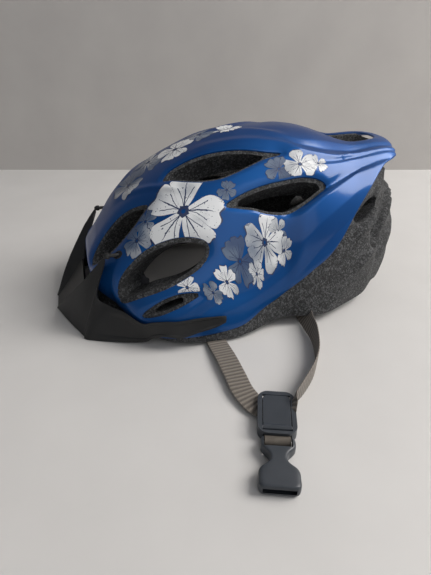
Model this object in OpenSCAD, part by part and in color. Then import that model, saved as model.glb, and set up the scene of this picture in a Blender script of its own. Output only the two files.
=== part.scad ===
// Vented cycling helmet: moulded skin over a foam liner, plug-in visor, rear dial
// retention and webbing straps with a side-release buckle.
// Millimetres. The wearer faces -Y, the wearer's left is +X, and Z = 0 is the table.

/* [Shell] */
// Length of the shell from brow to tail
shell_length = 293; // [280:1:305]
// Width of the shell across the widest section
shell_width = 214; // [206:1:222]
// Height of the crown
shell_height = 151; // [146:1:157]
// Wall of the moulded outer skin
skin_wall = 1.6; // [1.2:0.1:2.2]
// Gap between the skin and the foam
skin_gap = 0.3; // [0.2:0.05:0.4]
// Height of the crest lines that run back to the tail
crest_height = 2.5; // [1:0.1:3.5]

/* [Liner] */
// Foam thickness at the crown
crown_foam = 25; // [22:0.5:28]
// Foam thickness at the brow
brow_foam = 30; // [27:0.5:32]
// Foam thickness at the back of the head
rear_foam = 35; // [32:0.5:37]
// How much smaller an opening is in the foam than in the skin
vent_step = 2.2; // [1.5:0.1:3]
// Depth of the air channels in the inner face
channel_depth = 6; // [4:0.5:8]

/* [Visor] */
// Wall of the visor
visor_wall = 2.2; // [1.8:0.1:2.8]
// Reach of the nose in front of the brow
visor_reach = 40; // [34:1:44]
// Diameter of the pegs that plug into the shell
peg_d = 4; // [3.5:0.1:4.5]
// Length of a peg
peg_length = 9; // [8:0.5:10]
// Radial play of a peg in its grommet
peg_play = 0.08; // [0.06:0.01:0.1]

/* [Webbing] */
// Width of the webbing
web_width = 16; // [14:0.5:17]
// Thickness of the webbing
web_thick = 1.4; // [1.2:0.1:1.6]

/* [Strap divider] */
// Width of the divider frame
divider_width = 25; // [24:0.5:27]
// Length of the divider frame
divider_length = 37; // [35:0.5:40]
// Thickness of the divider frame
divider_thick = 8; // [7.5:0.5:9]
// Diameter of the pin that carries the flap
flap_pin_d = 2.4; // [2:0.1:2.8]

/* [Buckle] */
// Width of the buckle across its mouth
buckle_width = 24; // [23:0.5:26]
// Length of the receiving half
buckle_length = 36; // [34:0.5:38]
// Thickness of the buckle
buckle_thick = 9; // [8.5:0.5:10]
// Clear height of the buckle mouth
mouth_height = 5; // [4.5:0.1:5.5]

/* [Fit dial] */
// Diameter of the knob
knob_d = 26; // [24:0.5:28]
// Thickness of the knob
knob_thick = 7; // [6:0.5:8]
// Teeth on the pinion
pinion_teeth = 12; // [12:1:12]
// Tooth pitch along the racks
tooth_pitch = 2.4; // [2.2:0.1:2.5]
// Diameter of the dial axle
axle_d = 4; // [3.5:0.1:4.5]
// Radial play of the axle in its bore
axle_play = 0.06; // [0.04:0.01:0.1]

/* [Pads] */
// Thickness of the comfort pads
pad_thick = 6; // [5:0.5:7]

/* [Hidden] */

// The shell is a fan of cross sections about a line across the helmet, this far under the table.
// Section 0 would point straight ahead, 90 is the crown and 180 straight back.
fan_drop = 60;
half_width = shell_width / 2;
// Mid-plane outline from the brow to the nape, as shares of the length and the height
outline = [[-0.468, 0.139], [-0.495, 0.311], [-0.447, 0.556], [-0.328, 0.781], [-0.177, 0.934],
    [-0.017, 1.0], [0.143, 0.987], [0.297, 0.907], [0.505, 0.834], [0.505, 0.411], [0.427, 0.013]];
// Half width of a section, as a share of half the width: [section angle, share]
breadth = [[20, 1.065], [60, 1.02], [90, 0.945], [120, 0.98], [135, 0.905], [165, 0.905]];
// Squareness of a section: 2 is an ellipse
squareness = [[28, 3.1], [50, 2.7], [80, 2.25], [110, 2.3], [153, 2.4]];
// Height of the skin's lower edge as a share of the height: [section angle, share]
skin_edge = [[33, 0.06], [50, 0.073], [65, 0.093], [78, 0.146], [90, 0.199], [105, 0.325],
    [113, 0.45], [117, 0.642], [121, 0.788], [125, 0.828]];
// Height of the foam's rim in millimetres: [section angle, height]
rim_edge = [[28, 8], [40, 5], [60, 4.5], [75, 7], [90, 10], [120, 9], [140, 11], [147, 16]];
// Foam thickness along the head
foam_keys = [[28, brow_foam], [60, crown_foam], [100, crown_foam], [130, rear_foam],
    [150, rear_foam]];
skin_first = 33;
skin_last = 125;
foam_first = 28;
foam_last = 147;
cavity_first = 33;
// Height of the inner lip at the nape
lip_height = 27.5;
rim_rise = 3;
skin_steps = 22;
skin_columns = 14;
side_columns = 5;
nape_steps = 3;

// Openings: [section and side angle of one tip, of the other, half width above, below]
vents = [[64, 15.5, 97, 23.5, 11, 14], [76, 38, 106, 36, 4, 15], [36.5, 30, 67, 45, 8, 17],
    [36.5, 9, 58.5, 21, 11, 11], [36, 44.5, 56, 56.5, 2, 7]];
spine_vent = [107, 0, 122, 0, 11, 11];
nape_vents = [[116, 49, 124, 38.5, 4.5, 4.5], [126.5, 57, 130, 46.5, 4.5, 4.5],
    [129, 10, 131, 27, 5, 5]];
vent_points = 14;
section_pitch = 3.5;
side_pitch = 1.9;

// Where the pieces sit
clear = 0.3;
peg_x = 0.533 * half_width;
peg_z = 0.454 * shell_height;
grommet_d = peg_d + 4;
buckle_turn = -21.5;
divider_x = half_width + 70;
divider_y = -39;
dial_z = 12.5;
post_d = 5;
knob_gap = 0.5;
housing_wall = 2;
pinion_r = pinion_teeth * tooth_pitch / (2 * PI);
rack_deep = 3;

function unit(v) = v / norm(v);
function lerp(a, b, t) = a + (b - a) * t;
function bump(d) = exp(-d * d);
function clamp01(t) = min(max(t, 0), 1);
function smooth(a, b, t) = let (s = clamp01((t - a) / (b - a))) s * s * (3 - 2 * s);

// Smooth curve through [position, value] keys
function key_slope(k, i) = i == 0 ? rise(k, 0) : i == len(k) - 1 ? rise(k, i - 1)
    : (rise(k, i - 1) + rise(k, i)) / 2;
function rise(k, i) = (k[i + 1][1] - k[i][1]) / (k[i + 1][0] - k[i][0]);
function key_index(k, t, i = 0) = i >= len(k) - 2 || t < k[i + 1][0] ? i : key_index(k, t, i + 1);
function along(k, at) = let (
    t = min(max(at, k[0][0]), k[len(k) - 1][0]), i = key_index(k, t),
    h = k[i + 1][0] - k[i][0], s = (t - k[i][0]) / h, s2 = s * s, s3 = s2 * s)
    (2 * s3 - 3 * s2 + 1) * k[i][1] + (s3 - 2 * s2 + s) * h * key_slope(k, i)
    + (3 * s2 - 2 * s3) * k[i + 1][1] + (s3 - s2) * h * key_slope(k, i + 1);

outline_mm = [for (p = outline) [p[0] * shell_length, p[1] * shell_height]];
radius_keys = [for (p = outline_mm) [atan2(p[1] + fan_drop, -p[0]), norm([p[0], p[1] + fan_drop])]];
edge_keys = [for (p = skin_edge) [p[0], p[1] * shell_height]];

// Crest lines that sweep back to the tail, and the valley between them
crest_upper = [[92, 22], [98, 23], [108, 22], [118, 16], [125, 14]];
crest_lower = [[96, 46], [102, 44], [108, 37], [115, 28], [119, 24], [125, 21]];
crest_side = 2.6;
function relief(th, ph) = let (side = abs(ph), grow = smooth(90, 106, th),
    up = (side - along(crest_upper, th)) / crest_side,
    low = (side - along(crest_lower, th)) / crest_side)
    crest_height * grow * (bump(up) + bump(low));

// A point of the helmet's outer form: section angle, side angle, offset outwards
function form(th, ph, off = 0) = let (n = along(squareness, th), c = pow(abs(cos(ph)), 2 / n),
    s = sign(ph) * pow(abs(sin(ph)), 2 / n), p = (along(radius_keys, th) + off) * c,
    q = (along(breadth, th) * half_width + off) * s) [q, -p * cos(th), p * sin(th) - fan_drop];
function skin(th, ph, off = 0) = form(th, ph, off + relief(th, ph));

// Side angle at which a section comes down to a height
function side_at(th, z, off = 0) = let (n = along(squareness, th),
    share = min(max((z + fan_drop) / sin(th) / (along(radius_keys, th) + off), 0), 1))
    acos(pow(share, n / 2));
function skin_side(th) = side_at(th, along(edge_keys, min(max(th, skin_first), skin_last)));
function rim_side(th) = side_at(th, along(rim_edge, th));
function foam_at(th) = along(foam_keys, th);
function cavity_side(th) = side_at(th, along(rim_edge, th) + rim_rise, -foam_at(th));

// Section angle at which the inner face comes down to its lip at the nape
cavity_last = max([for (th = [130 : 0.5 : foam_last])
    if (form(th, 0, -foam_at(th))[2] > lip_height) th]);

// The foam steps in under the tail of the skin
tuck_depth = 13;
function tuck(th, ph) = tuck_depth * bump((th - 123) / 5) * bump((abs(ph) - 30) / 13);

// Air channels along the inner face, in line with the openings
channel_lines = [[[30, 14], [60, 17], [97, 21], [120, 12], [145, 10]],
    [[30, 36], [60, 40], [95, 42], [118, 44], [145, 30]]];
function channel(th, ph) = let (ends = smooth(36, 48, th) * (1 - smooth(118, 132, th)))
    channel_depth * ends * max([for (line = channel_lines) bump((abs(ph) - along(line, th)) / 4.5)]);
function cavity(th, ph, off = 0) = form(th, ph, off - foam_at(th) + channel(th, ph));

// Faces of a closed slab: two layers of rows by columns, the first one outside
function flipped(faces) = [for (f = faces) [f[2], f[1], f[0]]];
function slab_faces(rows, cols) = let (layer = rows * cols) flipped(concat(
    [for (i = [0 : rows - 2], j = [0 : cols - 2]) let (a = i * cols + j) each
        [[a, a + 1, a + cols + 1], [a, a + cols + 1, a + cols]]],
    [for (i = [0 : rows - 2], j = [0 : cols - 2]) let (a = layer + i * cols + j) each
        [[a, a + cols + 1, a + 1], [a, a + cols, a + cols + 1]]],
    [for (i = [0 : rows - 2]) let (a = i * cols, b = a + cols) each
        [[a, b, layer + b], [a, layer + b, layer + a]]],
    [for (i = [0 : rows - 2]) let (a = i * cols + cols - 1, b = a + cols) each
        [[a, layer + b, b], [a, layer + a, layer + b]]],
    [for (j = [0 : cols - 2]) let (a = j) each
        [[a, layer + a, layer + a + 1], [a, layer + a + 1, a + 1]]],
    [for (j = [0 : cols - 2]) let (a = (rows - 1) * cols + j) each
        [[a, layer + a + 1, layer + a], [a, a + 1, layer + a + 1]]]));
module slab(outer, inner) {
    polyhedron(concat([for (row = outer) each row], [for (row = inner) each row]),
        slab_faces(len(outer), len(outer[0])), convexity = 6);
}

skin_rows = [for (i = [0 : skin_steps]) lerp(skin_first, skin_last, i / skin_steps)];
skin_shares = [for (j = [0 : skin_columns]) 2 * j / skin_columns - 1];
foam_rows = concat([foam_first], skin_rows,
    [for (i = [1 : nape_steps]) lerp(skin_last, foam_last, i / nape_steps)]);
function foam_sides(th) = let (edge = skin_side(th), rim = rim_side(th)) concat(
    [for (k = [side_columns : -1 : 1]) -lerp(edge, rim, k / side_columns)],
    [for (s = skin_shares) s * edge],
    [for (k = [1 : side_columns]) lerp(edge, rim, k / side_columns)]);

// One opening: a tapered plug between two offsets of the form
function vent_at(v, t, grow) = let (
    cx = (v[2] - v[0]) * section_pitch, cy = (v[3] - v[1]) * side_pitch,
    len = norm([cx, cy]), a = 0.5 - 0.5 * cos(t) * (1 + 2 * grow / len),
    wide = (sin(t) > 0 ? v[5] + grow : v[4] + grow) * sin(t))
    [lerp(v[0], v[2], a) - cy / len * wide / section_pitch,
    lerp(v[1], v[3], a) + cx / len * wide / side_pitch];
function vent_ring(v, grow, off, taper) = let (mid = [(v[0] + v[2]) / 2, (v[1] + v[3]) / 2])
    [for (k = [0 : vent_points - 1]) let (p = lerp(mid, vent_at(v, 360 * k / vent_points, grow), taper))
        form(p[0], p[1], off)];
module vent_plug(v, grow, low, taper) {
    n = vent_points;
    ring_out = [for (k = [0 : n - 1]) k];
    ring_in = [for (k = [n - 1 : -1 : 0]) n + k];
    hull() polyhedron(concat(vent_ring(v, grow, 9, 1), vent_ring(v, grow, low, taper)),
        concat([ring_out, ring_in], [for (k = [0 : n - 1]) [k, n + k, n + (k + 1) % n, (k + 1) % n]]));
}
module both_sides() {
    children();
    mirror([1, 0, 0]) children();
}

// ---- Shell and liner ----
module peg_holes() {
    both_sides() translate([peg_x, peg_seat[1] + peg_length + 3, peg_z]) rotate([90, 0, 0])
        cylinder(d = grommet_d + 2 * clear, h = 40, $fn = 20);
}
module outer_shell() color([0.1, 0.25, 0.5]) difference() {
    slab([for (th = skin_rows) [for (s = skin_shares) skin(th, s * skin_side(th))]],
        [for (th = skin_rows) [for (s = skin_shares) skin(th, s * skin_side(th), -skin_wall)]]);
    for (v = vents) both_sides() vent_plug(v, 0, -12, 1);
    vent_plug(spine_vent, 0, -12, 1);
    peg_holes();
}

function foam_point(th, ph) = skin(th, ph, -skin_wall - skin_gap - tuck(th, ph));
module foam_blank() {
    slab([for (th = foam_rows) [for (ph = foam_sides(th)) foam_point(th, ph)]],
        [for (i = [0 : len(foam_rows) - 1]) let (u = i / (len(foam_rows) - 1),
            th = lerp(cavity_first, cavity_last, u), rim = cavity_side(th),
            n = skin_columns + 2 * side_columns)
            [for (j = [0 : n]) cavity(th, (2 * j / n - 1) * rim)]]);
}
module foam_liner() color([0.2, 0.2, 0.21]) difference() {
    foam_blank();
    for (v = vents) both_sides() vent_plug(v, -vent_step, -58, 0.8);
    for (v = nape_vents) both_sides() vent_plug(v, 0, -62, 0.8);
    vent_plug(spine_vent, -vent_step, -58, 0.8);
    peg_holes();
    post_holes();
    anchor_pockets();
}

// ---- Comfort pads, on the inner face of the foam ----
module pad(area, rows = 4, cols = 4) {
    ths = [for (i = [0 : rows]) lerp(area[0], area[1], i / rows)];
    phs = [for (j = [0 : cols]) lerp(area[2], area[3], j / cols)];
    slab([for (th = ths) [for (ph = phs) form(th, ph, -foam_at(th) - clear)]],
        [for (th = ths) [for (ph = phs) form(th, ph, -foam_at(th) - clear - pad_thick)]]);
}
// Pads: [first and last section angle, first and last side angle]
brow_area = [37, 45, -38, 38];
crown_area = [80, 100, -9, 9];
side_area = [72, 98, 46, 58];
rear_area = [106, 120, 16, 34];
pad_colour = [0.12, 0.12, 0.14];
module pad_brow() color(pad_colour) pad(brow_area, 2, 10);
module pad_crown() color(pad_colour) pad(crown_area);
module pad_left() color(pad_colour) pad(side_area);
module pad_right() color(pad_colour) mirror([1, 0, 0]) pad(side_area);
module pad_rear_left() color(pad_colour) pad(rear_area);
module pad_rear_right() color(pad_colour) mirror([1, 0, 0]) pad(rear_area);

// ---- Visor ----
peg_seat = [peg_x, form(45, 23)[1] - 6, peg_z];
visor_stand = 0.8;
visor_lay = visor_wall + visor_stand;
visor_core = [0, peg_seat[1] + 14, -10];
// Points ahead of a line from the brow up to the pegs: [share of half the width, share of the reach,
// height as a share of the pegs']
brow_y = form(36, 0)[1];
function ahead(p) = [p[0] * half_width,
    lerp(brow_y, peg_seat[1], p[2]) - p[1] * visor_reach, p[2] * peg_z];
// Fold line from the nose up to the tip of a prong
fold = [for (p = [[0.112, 1.009, 0.035], [0.252, 0.867, 0.248], [0.346, 0.724, 0.423],
    [0.416, 0.584, 0.569], [0.477, 0.442, 0.709], [0.51, 0.314, 0.831], [0.55, 0.095, 0.977]]) ahead(p)];
// Inner edge of a prong and, further down, of the centre panel
fold_inner = [for (p = [[0.08, 0.997, 0.029], [0.16, 0.72, 0.219], [0.25, 0.439, 0.438],
    [0.335, 0.369, 0.554], [0.41, 0.285, 0.686], [0.455, 0.217, 0.802], [0.49, 0.154, 0.904]]) ahead(p)];
notch_row = 2;
// Lower edge of the brim, then where it runs back beside the shell: [section angle, side angle]
brim_front = [[0.112, 1.002, 0.009], [0.2, 0.92, 0.018], [0.28, 0.839, 0.015], [0.36, 0.748, 0.012],
    [0.43, 0.667, 0.01], [0.5, 0.578, 0.009], [0.56, 0.507, 0.007], [0.59, 0.471, 0.007],
    [0.645, 0.402, 0.007], [0.75, -0.196, 0.015], [0.83, -0.688, 0.044]];
brim_side = [[33, 49], [36, 55.5], [39, 61], [45, 64.5], [52, 67], [57, 67.5]];
brim_low = concat([for (p = brim_front) ahead(p)], [for (a = brim_side) form(a[0], a[1], visor_lay)]);
// Upper edge past the fold: [section angle, side angle, how much further it stands off]
arm_top = [[33.5, 20, 12], [32.5, 23.5, 8], [34, 33.5, 0], [35, 44, 0], [38, 50, 0], [41, 54.4, 0],
    [44, 58, 0], [50, 62, 0], [55, 64.5, 0], [59, 66, 0]];
brim_high = concat(fold, [for (a = arm_top) form(a[0], a[1], visor_lay + a[2])]);
brim_rows = 2;
function sunk(p) = p - visor_wall * unit(p - visor_core);
function between(low, high, steps) = [for (i = [0 : steps])
    [for (j = [0 : len(low) - 1]) lerp(low[j], high[j], i / steps)]];
module sheet(grid) {
    slab(grid, [for (row = grid) [for (p = row) sunk(p)]]);
}
module prong_boss() {
    hull() {
        translate(peg_seat) rotate([90, 0, 0]) cylinder(d = peg_d + 4, h = 4, $fn = 24);
        for (p = [fold[6], fold_inner[6], fold[5]])
            translate(lerp(p, sunk(p), 0.6)) sphere(d = 2, $fn = 8);
    }
}
module visor() color([0.08, 0.08, 0.09]) {
    both_sides() {
        sheet(between(brim_low, brim_high, brim_rows));
        sheet(between(fold, fold_inner, 1));
        prong_boss();
    }
    sheet([for (i = [0 : notch_row]) let (p = fold_inner[i]) [for (s = [-1, 0, 1]) [s * p[0], p[1], p[2]]]]);
}
module peg() {
    translate([peg_x, peg_seat[1] + peg_length, peg_z]) rotate([90, 0, 0])
        cylinder(d = peg_d, h = peg_length, $fn = 32);
}
module visor_peg_left() color([0.08, 0.08, 0.09]) peg();
module visor_peg_right() color([0.08, 0.08, 0.09]) mirror([1, 0, 0]) peg();
module grommet() {
    length = peg_length + 2;
    translate([peg_x, peg_seat[1] + clear + length, peg_z]) rotate([90, 0, 0]) difference() {
        cylinder(d = grommet_d, h = length, $fn = 32);
        translate([0, 0, 1]) cylinder(d = peg_d + 2 * peg_play, h = length, $fn = 32);
    }
}
module peg_grommet_left() color([0.15, 0.15, 0.16]) grommet();
module peg_grommet_right() color([0.15, 0.15, 0.16]) mirror([1, 0, 0]) grommet();

// ---- Fit system inside the back of the helmet ----
band_thick = 1.4;
band_low = dial_z - 4;
band_high = dial_z + 9;
band_in = 2.4;
arm_in = band_in + band_thick + 1;
arm_first = 118;
post_angles = [76, 96];
fit_colour = [0.13, 0.13, 0.14];
function wall_path(th, in) = let (off = -foam_at(th) - in, p = form(th, side_at(th, dial_z, off), off))
    [p[0], p[1]];
module wall_band(angles, in, thick, low, high) {
    outer = [for (th = angles) wall_path(th, in)];
    inner = [for (i = [len(angles) - 1 : -1 : 0]) wall_path(angles[i], in + thick)];
    translate([0, 0, low]) linear_extrude(high - low) polygon(concat(outer, inner));
}
module side_band() {
    wall_band([for (th = [70 : 6 : 118]) th], band_in, band_thick, band_low, band_high);
    for (th = post_angles) let (p = wall_path(th, band_in))
        translate([p[0] - band_thick / 2, p[1], (band_low + band_high) / 2])
            rotate([0, 90, 0]) cylinder(d = post_d, h = 9, $fn = 24);
}
module post_holes() {
    both_sides() for (th = post_angles) let (p = wall_path(th, band_in))
        translate([p[0], p[1], (band_low + band_high) / 2])
            rotate([0, 90, 0]) cylinder(d = post_d + 2 * clear, h = 9, $fn = 16);
    both_sides() translate(cradle_foot(2)) rotate([-90, 0, 0])
        cylinder(d = post_d + 2 * clear, h = 13, $fn = 16);
}
module side_band_left() color(fit_colour) side_band();
module side_band_right() color(fit_colour) mirror([1, 0, 0]) side_band();

housing_deep = 10;
housing_wide = 46;
housing_tall = 22;
sleeve_tall = 2 * (pinion_r + 0.8 + rack_deep + clear);
sleeve_deep = housing_deep - 2 * housing_wall;
dial_range = 90;
rack_travel = pinion_r * dial_range * PI / 180;
rack_outer = housing_wide / 2 + rack_travel + 2;
// The dial clears the inner wall where the wall comes in past the racks' ends, and at the nape
rack_corner = max([for (th = [arm_first : 0.5 : 150]) let (p = wall_path(th, 0))
    if (p[0] > rack_outer) p[1]]);
nape_y = min([for (th = [arm_first : 0.5 : cavity_last]) let (p = form(th, 0, -foam_at(th)))
    if (th == cavity_last || p[2] < dial_z + housing_tall / 2 + 3) p[1]]);
corner_gap = 5.6;
nape_gap = 21.1;
dial_y = min(rack_corner - corner_gap, nape_y - nape_gap);
cradle_y = dial_y + housing_deep;
cradle_thick = 2.5;
// Extrudes a drawing of [across, height] from y towards the back
module upright(y, deep) {
    translate([0, y + deep, dial_z]) rotate([90, 0, 0]) linear_extrude(deep) children();
}
module rounded(wide, tall, r) {
    square([wide - 2 * r, tall], center = true);
    square([wide, tall - 2 * r], center = true);
    for (x = [-1, 1], y = [-1, 1])
        translate([x * (wide / 2 - r), y * (tall / 2 - r)]) circle(r = r, $fn = 24);
}
arm_off = rear_foam + 6.5;
function cradle_foot(i) = [[13, cradle_y + cradle_thick / 2, dial_z + 9],
    form(cavity_last - 2, 9, -arm_off), form(cavity_last - 6, 12, -arm_off)][i];
module cradle_joint(i) {
    translate(cradle_foot(i)) rotate([90, 0, 0])
        cylinder(d = post_d + 3, h = cradle_thick, center = true, $fn = 16);
}
module cradle_arm() {
    for (i = [0, 1]) hull() {
        cradle_joint(i);
        cradle_joint(i + 1);
    }
    translate(cradle_foot(2)) rotate([-90, 0, 0]) cylinder(d = post_d, h = 11, $fn = 24);
}
module cradle() color(fit_colour) {
    difference() {
        upright(cradle_y, cradle_thick) translate([0, -0.5]) rounded(housing_wide, 2 * (dial_z - 0.5), 5);
        upright(cradle_y - 1, cradle_thick + 2) circle(d = axle_d + 2, $fn = 32);
    }
    both_sides() cradle_arm();
}
module dial_housing() color(fit_colour) difference() {
    upright(dial_y, housing_deep) rounded(housing_wide, housing_tall, 3);
    upright(dial_y + housing_wall, sleeve_deep) square([housing_wide + 2, sleeve_tall], center = true);
    upright(dial_y + housing_wall, housing_deep) circle(d = axle_d + 2 * axle_play, $fn = 32);
}
module dial_knob() color([0.1, 0.1, 0.11]) {
    grips = 18;
    upright(cradle_y + cradle_thick + knob_gap, knob_thick) difference() {
        circle(d = knob_d - 2, $fn = 64);
        for (i = [0 : grips - 1])
            rotate(360 * i / grips) translate([knob_d / 2 - 1, 0]) circle(d = 2, $fn = 16);
    }
    upright(dial_y + housing_wall + clear, housing_deep + cradle_thick + knob_gap - housing_wall)
        circle(d = axle_d, $fn = 32);
}
tooth_up = 0.6;
tooth_down = 0.8;
tooth_root = 0.24 * tooth_pitch;
tooth_tip = 0.104 * tooth_pitch;
module tooth() {
    low = -tooth_down - 0.2;
    polygon([[-tooth_root, low], [tooth_root, low], [tooth_tip, tooth_up], [-tooth_tip, tooth_up]]);
}
module dial_pinion() color([0.75, 0.72, 0.66]) {
    upright(dial_y + housing_wall + clear, sleeve_deep - 2 * clear) difference() {
        union() {
            circle(r = pinion_r - tooth_down, $fn = 48);
            for (i = [0 : pinion_teeth - 1]) rotate(360 * i / pinion_teeth) translate([0, pinion_r]) tooth();
        }
        circle(d = axle_d + 2 * axle_play, $fn = 32);
    }
}
// The toothed bar of the left half runs above the pinion, that of the right half below it
rack_inner = 13;
rack_teeth = 14;
arm_steps = 5;
// Section angle at which the inner face comes down to the dial's height
nape_angle = atan2(dial_z + fan_drop, -dial_y);
module rack() {
    line = pinion_r + tooth_down;
    bar_y = dial_y + housing_wall + clear;
    first = tooth_pitch * (ceil(-rack_inner / tooth_pitch) + 0.5);
    upright(bar_y, sleeve_deep - 2 * clear) {
        translate([-rack_inner, line]) square([rack_inner + rack_outer, rack_deep]);
        for (i = [0 : rack_teeth - 1]) translate([first + tooth_pitch * i, pinion_r]) mirror([0, 1]) tooth();
    }
    turn_x = rack_outer - 1;
    // The arm follows the inner wall as far back as the wall still lies outside the bar's end
    angles = [for (i = [0 : arm_steps]) let (th = lerp(arm_first, nape_angle - 2, i / arm_steps))
        if (wall_path(th, arm_in + band_thick)[0] > rack_outer + 3) th];
    far = [for (i = [len(angles) - 1 : -1 : 0]) wall_path(angles[i], arm_in)];
    near = [for (th = angles) wall_path(th, arm_in + band_thick)];
    translate([0, 0, dial_z + line]) linear_extrude(rack_deep)
        polygon(concat([[turn_x, bar_y + band_thick]], far, near, [[turn_x, bar_y]]));
}
module rack_left() color(fit_colour) rack();
module rack_right() color(fit_colour) translate([0, 0, 2 * dial_z]) rotate([0, 180, 0]) rack();

// ---- Webbing ----
web_colour = [0.42, 0.38, 0.33];
// A flat band along stations of [centre, direction of its width], with a station halfway between each
// pair. Both broad faces are split along the same diagonals, so that they stay parallel where it twists
function midway(p) = [for (i = [0 : 2 * len(p) - 2]) let (k = floor(i / 2)) i % 2 == 0 ? p[k]
    : let (a = p[max(k - 1, 0)], b = p[k], c = p[k + 1], d = p[min(k + 2, len(p) - 1)])
    [(b[0] + c[0]) * 0.5625 - (a[0] + d[0]) * 0.0625, unit(unit(b[1]) + unit(c[1]))]];
module ribbon(route) {
    stations = midway(route);
    n = len(stations);
    rows = [for (i = [0 : n - 1])
        let (a = stations[max(i - 1, 0)][0], b = stations[min(i + 1, n - 1)][0], t = unit(b - a),
            c = stations[i][0], lean = stations[i][1], w = unit(lean - t * (lean * t)), up = cross(t, w))
        [for (s = [[-1, -1], [1, -1], [1, 1], [-1, 1]])
            c + w * s[0] * web_width / 2 + up * s[1] * web_thick / 2]];
    last = 4 * n - 4;
    polyhedron([for (row = rows) each row], concat([[0, 1, 2], [0, 2, 3]],
        [for (i = [0 : n - 2], k = [0 : 3]) let (a = 4 * i + k, b = 4 * i + (k + 1) % 4)
            each k == 2 ? [[a, a + 4, b], [a + 4, b + 4, b]] : [[a, a + 4, b + 4], [a, b + 4, b]]],
        [[last, last + 2, last + 1], [last, last + 3, last + 2]]));
}
anchor_wide = web_width + 7;
anchor_long = 7;
anchor_tall = 3;
anchor_slot = web_thick + 1;
front_x = 0.86 * half_width;
front_y = -60;
front_z = along(rim_edge, 50) + 2;
rear_x = 0.81 * half_width;
rear_y = 26;
rear_z = along(rim_edge, 108) + 1;
module anchor() {
    difference() {
        translate([-anchor_long / 2, -anchor_wide / 2, 0]) cube([anchor_long, anchor_wide, anchor_tall]);
        translate([-anchor_slot / 2, -web_width / 2 - 0.5, -1])
            cube([anchor_slot, web_width + 1, anchor_tall + 2]);
    }
}
module anchor_pocket(deep) {
    translate([-anchor_long / 2 - clear, -anchor_wide / 2 - clear, -20])
        cube([anchor_long + 2 * clear, anchor_wide + 2 * clear, 20 + deep]);
}
module at_front() { translate([front_x, front_y, front_z]) children(); }
module at_rear() { translate([rear_x, rear_y, rear_z]) children(); }
anchor_colour = [0.1, 0.1, 0.11];
module anchor_front_left() color(anchor_colour) at_front() anchor();
module anchor_rear_left() color(anchor_colour) at_rear() anchor();
module anchor_front_right() color(anchor_colour) mirror([1, 0, 0]) at_front() anchor();
module anchor_rear_right() color(anchor_colour) mirror([1, 0, 0]) at_rear() anchor();
module anchor_pockets() {
    both_sides() {
        at_front() anchor_pocket(anchor_tall + clear);
        at_rear() anchor_pocket(anchor_tall + clear);
    }
}

// The buckle chain lies on the table along its own line
along_buckle = [cos(buckle_turn), sin(buckle_turn), 0];
across_buckle = [-sin(buckle_turn), cos(buckle_turn), 0];
function on_chain(p) = [divider_x, divider_y, 0] + p[0] * along_buckle + p[1] * across_buckle + [0, 0, p[2]];
module chain() { translate([divider_x, divider_y, 0]) rotate([0, 0, buckle_turn]) children(); }
table_gap = 0.3;
floor_thick = 1.8;
web_layer = table_gap + floor_thick + 0.4;
web_low = web_layer + web_thick / 2;
web_high = web_low + web_thick + 0.3;
strap_front = concat([for (p = [[0, 0, 2.6], [0, 0, -0.4], [1, 0.1, -3.0], [4.5, 0.3, -4.6], [11, 0.6, -4.8],
    [20, 1, -3.6], [38, 2, -1.2]]) [[front_x, front_y, front_z] + p, [0, 1, 0]]],
    [[on_chain([-25, -13, 5.6]), [0, 1, 0]], [on_chain([-11, -10.5, 4.6]), [0, 1, 0]],
    [on_chain([1, -6, web_low + 0.2]), [0.1, 1, 0]], [on_chain([12, -3, web_low]), across_buckle]]);
strap_rear = concat([for (p = [[[0, 0, 2.6], [0, 1, 0]], [[0, 0, -1.2], [0, 1, 0]],
    [[2.5, 0.8, -4], [0, 1, 0]], [[10, 2.5, -6], [0.15, 0.95, 0.1]], [[20, 3.5, -4.6], [0.15, 0.65, 0.65]],
    [[36, 1, -2], [0.05, 0.2, 1]], [[54, -9, -2.2], [-0.05, 0.3, 1]]])
    [[rear_x, rear_y, rear_z] + p[0], p[1]]],
    [[on_chain([-25, 22.5, 7.5]), [0, 0.55, 0.85]], [on_chain([-9.5, 15, 5.6]), [0.1, 0.85, 0.45]],
    [on_chain([2, 8.5, web_high]), [0.25, 0.97, 0]], [on_chain([12, 3.5, web_high]), across_buckle]]);
module strap_front_left() color(web_colour) ribbon(strap_front);
module strap_rear_left() color(web_colour) ribbon(strap_rear);
module strap_front_right() color(web_colour) mirror([1, 0, 0]) ribbon(strap_front);
module strap_rear_right() color(web_colour) mirror([1, 0, 0]) ribbon(strap_rear);

// ---- Strap divider with its clamping flap ----
buckle_colour = [0.13, 0.16, 0.2];
flap_wide = 18;
flap_start = 4;
flap_thick = 1.8;
pin_x = divider_length - 6;
pin_z = web_layer + web_thick + 2.4;
pin_length = divider_width - 3;
pin_play = 0.05;
web_room = web_width + 2;
side_open = 19;
module plate(from, to, wide, r) {
    translate([(from + to) / 2, 0]) rounded(to - from, wide, r);
}
module divider() {
    difference() {
        translate([0, 0, table_gap]) linear_extrude(divider_thick - table_gap)
            plate(0, divider_length, divider_width, 7);
        translate([-1, -web_room / 2, web_layer - 0.3])
            cube([divider_length + 2, web_room, 2 * web_thick + 0.9]);
        translate([-1, -divider_width, web_layer - 0.3])
            cube([side_open + 1, 2 * divider_width, 2 * web_thick + 1.3]);
        translate([flap_start - 0.5, -flap_wide / 2 - 0.4, web_layer])
            cube([divider_length - flap_start - 2, flap_wide + 0.8, divider_thick]);
        translate([pin_x, pin_length / 2, pin_z]) rotate([90, 0, 0])
            cylinder(d = flap_pin_d + 2 * pin_play, h = pin_length, $fn = 24);
    }
}
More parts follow.
